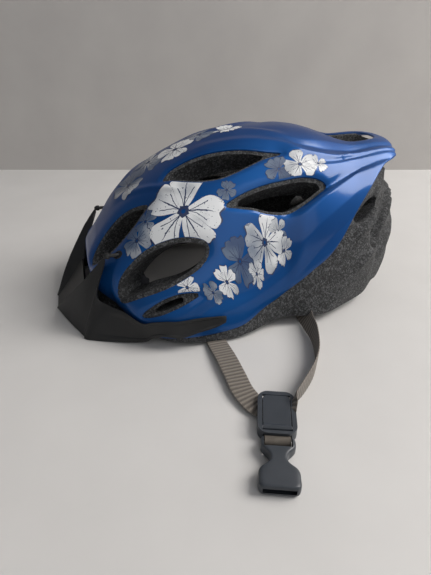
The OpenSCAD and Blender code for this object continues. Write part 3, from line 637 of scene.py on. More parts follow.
class BloomKind(Enum):
    """The print's motifs, by their number of petals."""

    BLOSSOM = 5
    STAR = 6
    LEAF = 2


@dataclass(frozen=True)
class Bloom:
    """One printed motif: its middle in section and side angles, its radius in mm, its turn and its tone."""

    th: float
    ph: float
    radius: float
    turn: float
    kind: BloomKind = BloomKind.BLOSSOM
    tone: int = 0


@dataclass
class FloralPrint:
    """The print on the skin: blooms of ruffled petals, laid on the surface as thin sheets.

    A petal is a grid of u outwards and v across. Its half width is width x u^0.8 x (1 - u^5)^0.5 and its end is
    waved by cosines of v. The petals lie over one another, a hair apart, so that each keeps its printed outline.
    """

    lift: float = 0.1
    layer: float = 0.03
    across: int = 23
    outwards: int = 24
    margin: float = 0.9
    blooms: tuple[Bloom, ...] = (
        Bloom(65.2, 32, 27, 22),
        Bloom(84.5, 52, 17, 75),
        Bloom(74, 54.5, 14, 10, tone=1),
        Bloom(66.5, 58, 10, 50, BloomKind.STAR),
        Bloom(91.5, 55.5, 8, 30, BloomKind.STAR),
        Bloom(98, 28.8, 11, 40),
        Bloom(92.3, 30.2, 9.5, 5, tone=1),
        Bloom(103, 28, 6.5, 15, BloomKind.STAR),
        Bloom(51.5, 27.8, 11, 60, tone=1),
        Bloom(60, 58.5, 7.5, 100, tone=1),
        Bloom(54, 52.5, 9, 35),
        Bloom(79, 59.5, 8, 160),
        Bloom(77.5, 33, 6.5, 120, tone=1),
        Bloom(89.5, 50, 8, 20, BloomKind.STAR, tone=1),
        Bloom(56, 25, 8, 20, BloomKind.STAR, tone=1),
        Bloom(57, 1.5, 12, 45, tone=1),
        Bloom(64, -2, 12, 10, tone=1),
        Bloom(71, 1.5, 12, 70),
        Bloom(78, -1.5, 11, 25, tone=1),
        Bloom(84.5, 1, 9, 0, BloomKind.STAR),
    )

    def place(self, bloom: Bloom, k: int, u: Array, v: Array) -> Array:
        """Section and side angles of points u outwards and v across on petal k."""
        wide = {BloomKind.BLOSSOM: 0.52, BloomKind.STAR: 0.4, BloomKind.LEAF: 0.26}[bloom.kind]
        seed = bloom.th * 3.1 + bloom.ph + k * 2.3
        end = 1 + 0.05 * np.cos(3 * v + seed) + 0.03 * np.cos(8 * v + 2 * seed) - 0.16 * v**4 - 0.05 * bump(v / 0.2)
        along_mm = bloom.radius * u * (1 + (end - 1) * u**2)
        half = bloom.radius * wide * u**0.8 * np.sqrt(1 - 0.72 * u**6) * (1 + 0.05 * np.cos(9 * u + seed))
        across_mm = half * np.sin(v * np.pi / 2) + 0.1 * bloom.radius * u**2 * math.sin(seed)
        turn = math.radians(bloom.turn + 360 / bloom.kind.value * k + 5 * math.sin(seed))
        x = along_mm * math.cos(turn) - across_mm * math.sin(turn)
        y = along_mm * math.sin(turn) + across_mm * math.cos(turn)
        return np.stack([bloom.th + x / FORM.section_mm, bloom.ph + y / FORM.side_mm], -1)

    def room(self, angles: Array) -> Array:
        """Distance in millimetres from points to the nearest opening or to the skin's lower edge."""
        th, ph = angles[..., 0], np.abs(angles[..., 1])
        flat = np.stack([th * FORM.section_mm, ph * FORM.side_mm], -1).reshape(-1, 2)
        space = (FORM.skin_side(th) - ph).ravel() * FORM.side_mm - 2
        for opening in SKIN_OPENINGS:
            space = np.minimum(space, nearest_on(opening.outlines()[0], flat)[0])
        return space.reshape(th.shape) - self.margin

    def petal(self, bloom: Bloom, k: int, side: int) -> Patch:
        """One petal as a grid whose columns end where they meet an opening or an edge.

        Args:
            bloom: the motif.
            k: which petal.
            side: 1 for the left, -1 for its mirror image.

        Returns:
            The petal; its UV is (outwards + tone x 2, across).
        """
        v = np.linspace(-1, 1, self.across)
        fine = np.linspace(0.05, 1, 45)[:, None]
        space = self.room(self.place(bloom, k, fine, v))
        stop = np.argmax(space <= 0, axis=0)
        before, after = (np.take_along_axis(space, np.maximum(i, 0)[None], 0)[0] for i in (stop - 1, stop))
        share = before / np.where(before > after, before - after, 1)
        limit = np.where((space > 0).all(0), 1.0, fine[np.maximum(stop - 1, 0), 0] + share * (fine[1] - fine[0]))
        limit = np.where(space[0] <= 0, 0.05, limit)
        u = 0.05 + (limit - 0.05) * np.linspace(0, 1, self.outwards)[:, None]
        angles = self.place(bloom, k, u, v)
        patch = grid_patch(SHELL.surface(angles[..., 0], angles[..., 1], self.lift + self.layer * k) * [side, 1, 1])
        patch.uv = np.stack([u + 2.0 * bloom.tone, np.broadcast_to(v / 2 + 0.5, u.shape)], -1).reshape(-1, 2)
        keep = np.broadcast_to(limit > 0.12, u.shape).ravel()
        quads = patch.quads[keep[patch.quads].all(1)]
        # a grid of columns x rows faces inwards on the left and outwards on the right
        patch.quads = quads[:, ::-1] if side > 0 else quads
        return patch

    def motif(self, bloom: Bloom, side: int) -> Patch:
        """All petals of one bloom on one side of the helmet."""
        merged: Patch | None = None
        for k in range(bloom.kind.value):
            patch = self.petal(bloom, k, side)
            merged = patch if merged is None else merged.joined(patch)
        return merged

    def build(self) -> bpy.types.Object:
        """Makes the piece: every motif on the left and, turned over, on the right; those in the middle once."""
        merged: Patch | None = None
        for side in (1, -1):
            for bloom in self.blooms:
                if side < 0 and bloom.ph < 3:
                    continue
                part = self.motif(bloom, side)
                merged = part if merged is None else merged.joined(part)
        piece = make_piece("floral_print", merged)
        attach(piece, "helmet")
        return piece


@dataclass
class Foam:
    """The bead foam liner, from the face under the skin to the channelled face against the head."""

    rows: int = 150
    cols: int = 170
    vent_step: float = 2.2
    channel_depth: float = 6.0
    channels: tuple[Keys, ...] = (
        ((30, 14), (60, 17), (97, 21), (120, 12), (145, 10)),
        ((30, 36), (60, 40), (95, 42), (118, 44), (145, 30)),
    )
    # ribs and hollows beside the nape's scoops: two ends in angles, height and half width in millimetres
    ribs: tuple[tuple[tuple[float, float], tuple[float, float], float, float], ...] = (
        ((119.5, 50.5), (127.7, 39.4), 3.4, 3.6),
        ((125.5, 60), (132.6, 45), 3.2, 3.8),
        ((117.5, 44), (123, 37), -3.0, 5.5),
        ((127, 53), (130, 45), -2.4, 5.0),
    )

    def channel(self, th: Array, ph: Array) -> Array:
        """Depth of the air channels along the inner face."""
        ends = smooth(36, 48, th) * (1 - smooth(118, 132, th))
        lines = [bump((np.abs(ph) - spline(line, th)) / 4.5) for line in self.channels]
        return self.channel_depth * ends * np.maximum.reduce(lines)

    def outer_offset(self, th: Array, ph: Array) -> Array:
        """Offset of the outer face: under the skin, tucked in below its tail, with flutes beside the scoops."""
        side = np.abs(ph)
        step = 10.0 * (1 - smooth(134.5, 139.5, th)) + 9.5 * (1 - smooth(131.4, 133.4, th))
        tuck = step * smooth(121, 127, th) * (1 - smooth(44, 56, side))
        tuck = np.maximum(tuck, 12 * bump((th - 123) / 4.5) * bump((side - 30) / 13))
        tuck = tuck + 3 * smooth(126, 131, th) * (1 - smooth(141, 145, th)) * (1 - smooth(48, 58, side))
        tuck = tuck + 6 * smooth(142, 147, th) * smooth(38, 46, side)
        under = -FORM.skin_wall - FORM.skin_gap + np.minimum(RELIEF.height(th, ph), 1.5)
        below = (side - FORM.skin_side(th)) * FORM.side_mm
        bulge = 1.4 * smooth(0.5, 5, below) * smooth(60, 90, th)
        flat = np.stack([th * FORM.section_mm, side * FORM.side_mm], -1)
        ribs = sum(high * bump(segment_distance(flat, a, b) / wide) for a, b, high, wide in self.ribs)
        return under - tuck + bulge + ribs + FORM.brow_lip(th, ph)

    def build(self) -> bpy.types.Object:
        """Makes the piece: both faces over one grid, joined round the rim and through every opening."""
        th = np.linspace(FORM.foam_first, FORM.foam_last, self.rows)[:, None] + np.zeros(self.cols)
        share = np.linspace(-1, 1, self.cols)
        ph = share * FORM.rim_side(th)
        cell = (FORM.foam_last - FORM.foam_first) * FORM.section_mm / self.rows
        openings = [(o, self.vent_step) for o in SKIN_OPENINGS] + [(o, 0.0) for o in NAPE_SCOOPS]
        th, ph, keep, reach = open_up(th, ph, openings, cell)
        lip = np.clip(1 - reach / 3.0, 0, 1) ** 2
        outer = FORM.point(th, ph, self.outer_offset(th, ph) - 1.2 * lip)
        u = (th - FORM.foam_first) / (FORM.foam_last - FORM.foam_first)
        th_in = FORM.cavity_first + u * (FORM.cavity_last - FORM.cavity_first)
        ph_in = ph / FORM.rim_side(th) * FORM.cavity_side(th_in)
        inner = FORM.point(th_in, ph_in, -FORM.foam_at(th_in) + self.channel(th_in, ph_in))
        patch = slab_patch(outer, inner, keep, wall_rows=8, bow=0.8)
        piece = make_piece("foam_body", patch, Shading.CREASED)
        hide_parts("foam_liner")
        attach(piece, "helmet")
        return piece


# ---------------------------------------------------------------- visor, webbing, hardware and pads


@dataclass
class Visor:
    """The plug-in visor: a folded blade from the nose up two prongs to the pegs, with an arm along each side.

    Its faces are ruled between smooth lines, and its wall is a constant step towards a point behind the brow.
    """

    wall: float = 2.2
    stand: float = 3.0
    reach: float = 40.0
    brow_y: float = -144.94
    seat: tuple[float, float, float] = (57.03, -134.13, 68.55)
    rows: int = 22
    steps: int = 9
    fold: Outline = (
        (0.112, 1.009, 0.035), (0.252, 0.867, 0.248), (0.346, 0.724, 0.423), (0.416, 0.584, 0.569),
        (0.477, 0.442, 0.709), (0.51, 0.314, 0.831), (0.55, 0.095, 0.977),
    )
    fold_inner: Outline = (
        (0.08, 0.997, 0.029), (0.16, 0.72, 0.219), (0.25, 0.439, 0.438), (0.335, 0.369, 0.554),
        (0.41, 0.285, 0.686), (0.455, 0.217, 0.802), (0.49, 0.154, 0.904),
    )
    low_front: Outline = (
        (0.112, 1.002, 0.009), (0.2, 0.92, 0.018), (0.28, 0.839, 0.015), (0.36, 0.748, 0.012),
        (0.43, 0.667, 0.01), (0.5, 0.578, 0.009), (0.56, 0.507, 0.007), (0.59, 0.471, 0.007),
        (0.645, 0.402, 0.007), (0.75, -0.196, 0.015), (0.83, -0.688, 0.044),
    )
    low_side: Outline = ((33, 49), (36, 55.5), (39, 61), (45, 64.5), (52, 67), (57, 67.5))
    high_side: Outline = (
        (33.5, 20, 12), (32.5, 23.5, 8), (34, 33.5, 0), (35, 44, 0), (38, 50, 0), (41, 54.4, 0), (44, 58, 0),
        (50, 62, 0), (55, 64.5, 0), (59, 66, 0),
    )

    def ahead(self, shares: Outline) -> Array:
        """Points from shares of half the width, of the reach and of the pegs' height."""
        p = np.array(shares, float)
        y = self.brow_y + (self.seat[1] - self.brow_y) * p[:, 2] - p[:, 1] * self.reach
        return np.stack([p[:, 0] * FORM.width / 2, y, p[:, 2] * self.seat[2]], -1)

    def beside(self, angles: Outline) -> Array:
        """Points that stand off the form at pairs of angles, with an optional further offset."""
        a = np.array(angles, float)
        return FORM.point(a[:, 0], a[:, 1], self.stand + (a[:, 2] if a.shape[1] > 2 else 0))

    def sheet(self, low: Array, high: Array, sunk_panel: bool) -> Patch:
        """A ruled wall between two lines; a sunk panel leaves a raised rim along the arm."""
        s = np.linspace(0, 1, self.rows)[:, None, None]
        outer = low + (high - low) * s
        core = np.array([0, self.seat[1] + 14, -10])
        inward = -unit(outer - core)
        if sunk_panel:
            along = np.linspace(0, 1, outer.shape[1])[None, :, None]
            panel = smooth(0.12, 0.2, s) * (1 - smooth(0.8, 0.88, s))
            panel = panel * smooth(0.5, 0.56, along) * (1 - smooth(0.95, 0.985, along))
            outer = outer + inward * 0.8 * panel - inward * 0.5 * np.sin(np.pi * s) * (1 - panel)
        return slab_patch(outer, outer + inward * self.wall, np.ones(outer.shape[:2], bool), wall_rows=2)

    def boss(self) -> Patch:
        """The rounded end of a prong that carries a peg: a lathe about the peg's axis."""
        profile = np.array([[0.01, -5.2], [1.2, -4.9], [2.1, -3.8], [2.6, -2.2], [2.5, -0.4], [1.8, -0.1], [0.01, -0.1]])
        turn = np.linspace(0, 2 * np.pi, 33)[:-1]
        ring = np.stack([np.cos(turn), np.zeros(32), np.sin(turn)], -1)
        points = np.array(self.seat) + profile[:, :1, None] * ring[None] + profile[:, 1:, None] * [0, 1, 0]
        return Patch(points.reshape(-1, 3), grid_quads(len(profile), 32, around=True))

    def build(self) -> bpy.types.Object:
        """Makes the piece, with softened edges."""
        fold, inner = self.ahead(self.fold), self.ahead(self.fold_inner)
        low = through(np.vstack([self.ahead(self.low_front), self.beside(self.low_side)]), self.steps)
        high = through(np.vstack([fold, self.beside(self.high_side)]), self.steps)
        fold, inner = through(fold, self.steps), through(inner, self.steps)
        left = self.sheet(low, high, True).joined(self.sheet(fold, inner, False)).joined(self.boss())
        notch = inner[: 2 * self.steps + 1]
        across = np.linspace(-1, 1, 13)[None, :, None] * [1, 0, 0] + [0, 1, 1]
        centre = notch[:, None] * across
        core = np.array([0, self.seat[1] + 14, -10])
        panel = slab_patch(centre, centre - unit(centre - core) * self.wall, np.ones(centre.shape[:2], bool))
        piece = make_piece("visor_blade", left.joined(left.mirrored()).joined(panel), Shading.FINE)
        soften(piece, 0.45)
        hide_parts("visor")
        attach(piece, "visor")
        return piece


@dataclass
class PegMounts:
    """The visor's two pins and the collars in the skin that hold them."""

    seat: tuple[float, float, float] = (57.03, -134.13, 68.55)
    pin: Outline = ((0.01, -0.05), (1.5, -0.05), (1.5, 13.2), (1.0, 14.0), (0.01, 14.0))
    collar: Outline = ((1.75, 5.0), (1.75, -0.3), (2.1, -0.75), (2.9, -0.7), (3.4, 0.3))

    def skin_y(self, x: Array, z: Array) -> Array:
        """Where the skin lies ahead of points given across and up, from the nearest of a fine grid of its points."""
        th, ph = np.meshgrid(np.arange(44, 72, 0.15), np.arange(18, 52, 0.15), indexing="ij")
        grid = SHELL.surface(th, ph).reshape(-1, 3)
        near = np.argmin((grid[:, 0] - x.ravel()[:, None]) ** 2 + (grid[:, 2] - z.ravel()[:, None]) ** 2, axis=1)
        return grid[near, 1].reshape(x.shape)

    def lathe(self, profile: Outline, on_skin: bool) -> Patch:
        """Turns a profile of (radius, depth) about the pin's axis; on the skin, depths count from its face."""
        p = np.array(profile, float)
        turn = np.linspace(0, 2 * np.pi, 29)[:-1]
        x = self.seat[0] + p[:, :1] * np.cos(turn)
        z = self.seat[2] + p[:, :1] * np.sin(turn)
        y = (self.skin_y(x, z) if on_skin else self.seat[1]) + p[:, 1:] + np.zeros_like(x)
        return Patch(np.stack([x, y, z], -1).reshape(-1, 3), grid_quads(len(p), 28, around=True))

    def build(self) -> list[bpy.types.Object]:
        """Makes the pins, which go with the visor, and the collars, which stay in the skin."""
        pins, collars = self.lathe(self.pin, False), self.lathe(self.collar, True)
        made = []
        for name, patch, nodes, slot, body in (
            ("visor_pins", pins, ("visor_peg_left", "visor_peg_right"), "visor_plastic", "visor"),
            ("pin_collars", collars, ("peg_grommet_left", "peg_grommet_right"), "grommet_plastic", "helmet"),
        ):
            piece = make_piece(name, patch.joined(patch.mirrored()), Shading.CREASED)
            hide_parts(*nodes)
            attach(piece, body)
            made.append(piece)
        return made


def soften(piece: bpy.types.Object, width_mm: float, segments: int = 2) -> None:
    """Rounds a piece's sharp edges with a bevel of the given width and applies it."""
    bevel = piece.modifiers.new("edges", "BEVEL")
    bevel.width, bevel.segments = width_mm * MM, segments
    bevel.limit_method, bevel.angle_limit = "ANGLE", math.radians(32)
    bevel.use_clamp_overlap = True
    bevel.harden_normals = True
    apply_modifiers(piece)


@dataclass(frozen=True)
class Chain:
    """The line on which divider and buckle lie: its origin, its turn and the heights of the webbing layers."""

    x: float = 177.0
    y: float = -39.0
    turn: float = -21.5
    web_low: float = 3.2
    web_high: float = 4.9

    def at(self, along: float, across: float, z: float) -> tuple[float, float, float]:
        """A point given along and across the chain."""
        c, s = math.cos(math.radians(self.turn)), math.sin(math.radians(self.turn))
        return self.x + along * c - across * s, self.y + along * s + across * c, z

    def across(self) -> tuple[float, float, float]:
        """The direction across the chain."""
        return -math.sin(math.radians(self.turn)), math.cos(math.radians(self.turn)), 0.0


CHAIN = Chain()
Station = tuple[tuple[float, float, float], tuple[float, float, float]]


@dataclass
class Strap:
    """A flat band of webbing along stations of centre and width direction, with woven ribs across it."""

    name: str
    node: str
    side: int
    stations: tuple[Station, ...]
    width: float = 16.0
    thick: float = 1.4
    rib_pitch: float = 3.4
    rib: float = 0.22
    per_rib: int = 8

    def build(self) -> bpy.types.Object:
        """Makes the piece.

        The section is a rounded strip: across = w/2 x cos(a)^0.35, up = t/2 x sin(a)^0.5; its thickness swells by a
        cosine of the length along the band, which draws the ribs.
        """
        centre = through(np.array([c for c, _ in self.stations], float), 60)
        lean = through(np.array([w for _, w in self.stations], float), 60)
        run = np.concatenate([[0], np.cumsum(np.linalg.norm(np.diff(centre, axis=0), axis=1))])
        count = int(run[-1] / self.rib_pitch * self.per_rib)
        s = np.linspace(0, run[-1], count)
        centre = np.stack([np.interp(s, run, centre[:, k]) for k in range(3)], -1)
        lean = np.stack([np.interp(s, run, lean[:, k]) for k in range(3)], -1)
        tangent = unit(np.gradient(centre, axis=0))
        wide = unit(lean - tangent * (lean * tangent).sum(-1, keepdims=True))
        up = np.cross(tangent, wide)
        a = np.linspace(0, 2 * np.pi, 41)[:-1]
        across = np.sign(np.cos(a)) * np.abs(np.cos(a)) ** 0.35 * self.width / 2
        rise = np.sign(np.sin(a)) * np.abs(np.sin(a)) ** 0.5
        rib = self.rib * np.cos(2 * np.pi * s / self.rib_pitch)[:, None] * (1 - np.abs(np.cos(a)) ** 6)
        height = rise * (self.thick / 2 - self.rib) + rise * rib
        points = centre[:, None] + wide[:, None] * across[None, :, None] + up[:, None] * height[..., None]
        patch = Patch(points.reshape(-1, 3), grid_quads(count, 40, around=True))
        uv = np.stack(np.broadcast_arrays(across[None] * MM, s[:, None] * MM), -1)
        patch.uv = uv.reshape(-1, 2)
        ends = np.vstack([points[0].mean(0), points[-1].mean(0)])
        ring = np.arange(40)
        n = len(patch.verts)
        first = np.stack([np.full(40, n), ring, (ring + 1) % 40], -1)[:, ::-1]
        last = np.stack([np.full(40, n + 1), ring, (ring + 1) % 40], -1) + [0, (count - 1) * 40, (count - 1) * 40]
        patch = Patch(np.vstack([patch.verts, ends]), patch.quads, np.vstack([first, last]),
                      np.vstack([patch.uv, np.zeros((2, 2))]))
        # sections turn from across towards up, so a row of them faces inwards when it runs along the band
        patch = Patch(patch.verts, patch.quads[:, ::-1], patch.tris[:, ::-1], patch.uv)
        piece = make_piece(self.name, patch.mirrored() if self.side < 0 else patch)
        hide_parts(self.node)
        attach(piece, "helmet")
        return piece


@dataclass
class Webbing:
    """The four strap legs from the anchors to the dividers."""

    front: tuple[float, float, float] = (92.02, -60.0, 7.4)
    rear: tuple[float, float, float] = (86.67, 26.0, 10.4)

    def routes(self) -> dict[str, tuple[Station, ...]]:
        """The stations of the front and the rear leg of the left side."""
        ahead = ((0, 0, 2.6), (0, 0, -0.4), (1, 0, -3.0), (4.5, 0, -4.6), (11, 0, -4.8), (20, 0, -3.9), (38, 0.4, -2.4),
                 (58, 0.6, -2.6), (74, 0.8, -3.2))
        back = (((0, 0, 2.6), (0, 1, 0)), ((0, 0, -1.2), (0, 1, 0)), ((2.2, -0.5, -4), (0, 0.95, 0.25)),
                ((8, -2, -3.6), (0, 0.7, 0.7)), ((20, -5, -2.7), (0, 0.4, 0.92)), ((37, -8.2, -2.3), (0, 0.22, 1)),
                ((56, -15.5, -2.2), (0, 0.12, 1)), ((68, -22.2, -2.2), (0, 0.06, 1)), ((79, -31, -2.3), (0, 0, 1)),
                ((88, -40.5, -2.5), (0, 0, 1)), ((95, -49, -2.8), (0.04, 0.06, 1)), ((99.6, -56, -3.6), (0.1, 0.3, 0.9)))
        f, r = self.front, self.rear
        front = [((f[0] + p[0], f[1] + p[1], f[2] + p[2]), (0.0, 1.0, 0.0)) for p in ahead]
        front += [((180.0, -55.5, CHAIN.web_low + 0.2), (0.1, 1, 0)), (CHAIN.at(14, -6.5, CHAIN.web_low), (0.2, 1, 0)),
                  (CHAIN.at(20, -4, CHAIN.web_low), CHAIN.across())]
        rear = [((r[0] + p[0], r[1] + p[1], r[2] + p[2]), w) for p, w in back]
        rear += [(CHAIN.at(10.5, 9, 5.6), (0.3, 0.65, 0.7)), (CHAIN.at(17, 4.5, CHAIN.web_high), CHAIN.across())]
        return {"front": tuple(front), "rear": tuple(rear)}

    def build(self) -> list[bpy.types.Object]:
        """Makes the four legs."""
        return [
            Strap(f"webbing_{leg}_{hand}", f"strap_{leg}_{hand}", side, route).build()
            for leg, route in self.routes().items()
            for hand, side in (("left", 1), ("right", -1))
        ]


@dataclass
class BuckleShell:
    """The buckle's receiving half: a rounded moulding with a waist, a window for the webbing and a mouth."""

    start: float = 39.0
    length: float = 36.0
    low: float = 0.3
    high: float = 9.0
    rows: int = 110
    around: int = 56
    flank: Keys = (
        (0, 9.4), (0.06, 10.4), (0.14, 10.7), (0.21, 10.3), (0.27, 8.6), (0.335, 6.4), (0.44, 5.1), (0.5, 5.6),
        (0.56, 7.6), (0.62, 10.4), (0.68, 11.7), (0.8, 12.0), (0.93, 11.9), (1, 10.6),
    )

    def body(self) -> Patch:
        """Sections along the chain: across = w cos(a)^0.3, up = h sin(a)^0.42, both shrinking at the two ends."""
        s = np.concatenate([[0, 0.004, 0.012, 0.025], np.linspace(0.04, 0.96, self.rows), [0.975, 0.988, 0.996, 1]])
        end = np.minimum(s, 1 - s) / 0.04
        round_off = np.sqrt(np.clip(1 - (1 - np.clip(end, 0, 1)) ** 2, 0.0001, 1))
        wide = spline(self.flank, s) - 1.6 * (1 - round_off)
        tall = (self.high - self.low) / 2 * (0.45 + 0.55 * round_off)
        a = np.linspace(0, 2 * np.pi, self.around + 1)[:-1]
        across = np.sign(np.cos(a)) * np.abs(np.cos(a)) ** 0.3 * wide[:, None]
        up = np.sign(np.sin(a)) * np.abs(np.sin(a)) ** 0.42 * tall[:, None] + (self.high + self.low) / 2
        along = (self.start + s * self.length)[:, None] + 0 * across
        points = np.stack(CHAIN.at(along, across, up), -1)
        n, ring = len(s) * self.around, np.arange(self.around)
        first = np.stack([np.full(self.around, n), ring, (ring + 1) % self.around], -1)
        last = np.stack([np.full(self.around, n + 1), (ring + 1) % self.around, ring], -1)
        last[:, 1:] += n - self.around
        verts = np.vstack([points.reshape(-1, 3), points[0].mean(0), points[-1].mean(0)])
        quads = grid_quads(len(s), self.around, around=True)
        return Patch(verts, quads[:, ::-1], np.vstack([first[:, ::-1], last[:, ::-1]]))

    def cut(self, piece: bpy.types.Object, low: tuple[float, float, float], high: tuple[float, float, float]) -> None:
        """Takes a box out of the piece, given two corners along, across and up."""
        ends = np.array([low, high], float)
        corners = np.array([[ends[i, 0], ends[j, 1], ends[k, 2]] for i in (0, 1) for j in (0, 1) for k in (0, 1)])
        verts = np.stack(CHAIN.at(corners[:, 0], corners[:, 1], corners[:, 2]), -1)
        faces = np.array([[0, 1, 3, 2], [4, 6, 7, 5], [0, 4, 5, 1], [2, 3, 7, 6], [0, 2, 6, 4], [1, 5, 7, 3]])
        box = make_piece("cutter", Patch(verts, faces))
        boolean = piece.modifiers.new("cut", "BOOLEAN")
        boolean.operation, boolean.object, boolean.solver = "DIFFERENCE", box, "EXACT"
        apply_modifiers(piece)
        bpy.data.objects.remove(box)

    def build(self) -> bpy.types.Object:
        """Makes the piece and cuts its window and its mouth."""
        piece = make_piece("buckle_socket_moulding", self.body())
        stop = self.start + self.length
        self.cut(piece, (self.start - 3, -8.7, -1), (self.start + 8.2, 8.7, 11))
        self.cut(piece, (stop - 9, -9.4, 2.9), (stop + 2, 9.4, 6.4))
        piece.data.polygons.foreach_set("use_smooth", np.ones(len(piece.data.polygons), bool))
        piece.data.set_sharp_from_angle(angle=math.radians(35))
        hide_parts("buckle_socket")
        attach(piece, "helmet")
        return piece


@dataclass
class Hardware:
    """Moulded parts whose shape is the solids' own, with softened edges."""

    names: tuple[str, ...]
    slot: str
    edge: float
    bodies: dict[str, str] = field(default_factory=dict)

    def build(self) -> list[bpy.types.Object]:
        """Copies each node, merges its loose triangles, rounds its edges and lets the copy stand for it."""
        pieces = []
        for name in self.names:
            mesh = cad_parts[name].data.copy()
            work = bmesh.new()
            work.from_mesh(mesh)
            bmesh.ops.remove_doubles(work, verts=work.verts, dist=2e-6)
            bmesh.ops.dissolve_limit(work, angle_limit=math.radians(1.5), verts=work.verts, edges=work.edges)
            work.to_mesh(mesh)
            work.free()
            piece = bpy.data.objects.new(f"{name}_moulding", mesh)
            bpy.context.scene.collection.objects.link(piece)
            mesh.polygons.foreach_set("use_smooth", np.ones(len(mesh.polygons), bool))
            mesh.set_sharp_from_angle(angle=math.radians(30))
            soften(piece, self.edge, 4)
            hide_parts(name)
            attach(piece, self.bodies.get(name, "helmet"))
            pieces.append(piece)
        return pieces


@dataclass
class Pad:
    """A comfort pad: a crowned patch of the inner face, swollen as cloth."""

    name: str
    node: str
    side: int
    th: tuple[float, float]
    ph: tuple[float, float]
    thick: float = 5.2
    clear: float = 0.5
    rows: int = 18
    cols: int = 26
    voxel: float = 0.004
    cap: float = 1.6

    def build(self) -> bpy.types.Object:
        """Makes the piece: thickness x (1 - u^6)^0.5 x (1 - v^6)^0.5 over the inner face."""
        u, v = np.meshgrid(np.linspace(-1, 1, self.rows), np.linspace(-1, 1, self.cols), indexing="ij")
        th = (self.th[0] + self.th[1]) / 2 + u * (self.th[1] - self.th[0]) / 2 * 0.97
        ph = (self.ph[0] + self.ph[1]) / 2 + v * (self.ph[1] - self.ph[0]) / 2 * 0.97
        crown = np.sqrt((1 - 0.985 * u**6) * (1 - 0.985 * v**6))
        base = -FORM.foam_at(th) - self.clear
        patch = slab_patch(FORM.point(th, ph, base), FORM.point(th, ph, base - self.thick * crown),
                           np.ones(u.shape, bool))
        piece = make_piece(self.name, patch.mirrored() if self.side < 0 else patch)
        self.swell(piece)
        smoothing = piece.modifiers.new("surface", "SUBSURF")
        smoothing.levels = smoothing.render_levels = 1
        apply_modifiers(piece)
        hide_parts(self.node)
        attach(piece, "helmet")
        return piece

    def swell(self, piece: bpy.types.Object) -> None:
        """Blows the pad up as cloth for a few frames and caps how far each point may move."""
        remesh = piece.modifiers.new("cells", "REMESH")
        remesh.mode, remesh.voxel_size = "VOXEL", self.voxel
        apply_modifiers(piece)
        start = np.empty(len(piece.data.vertices) * 3)
        piece.data.vertices.foreach_get("co", start)
        cloth = piece.modifiers.new("cloth", "CLOTH")
        cloth.settings.use_pressure = True
        cloth.settings.uniform_pressure_force = 4
        cloth.settings.effector_weights.gravity = 0
        for number in range(1, 13):
            bpy.context.scene.frame_set(number)
        apply_modifiers(piece)
        end = np.empty_like(start)
        piece.data.vertices.foreach_get("co", end)
        move = (end - start).reshape(-1, 3)
        reach = np.linalg.norm(move, axis=1, keepdims=True)
        move *= np.minimum(1, self.cap * MM / np.maximum(reach, 1e-9))
        piece.data.vertices.foreach_set("co", (start.reshape(-1, 3) + move).ravel())
        bpy.context.scene.frame_set(1)


PADS = (
    Pad("brow_pad", "pad_brow", 1, (37, 45), (-38, 38), cols=60),
    Pad("crown_pad", "pad_crown", 1, (80, 100), (-9, 9)),
    Pad("left_pad", "pad_left", 1, (72, 98), (46, 58)),
    Pad("right_pad", "pad_right", -1, (72, 98), (46, 58)),
    Pad("rear_left_pad", "pad_rear_left", 1, (106, 120), (16, 34)),
    Pad("rear_right_pad", "pad_rear_right", -1, (106, 120), (16, 34)),
)


# ---------------------------------------------------------------- finishes


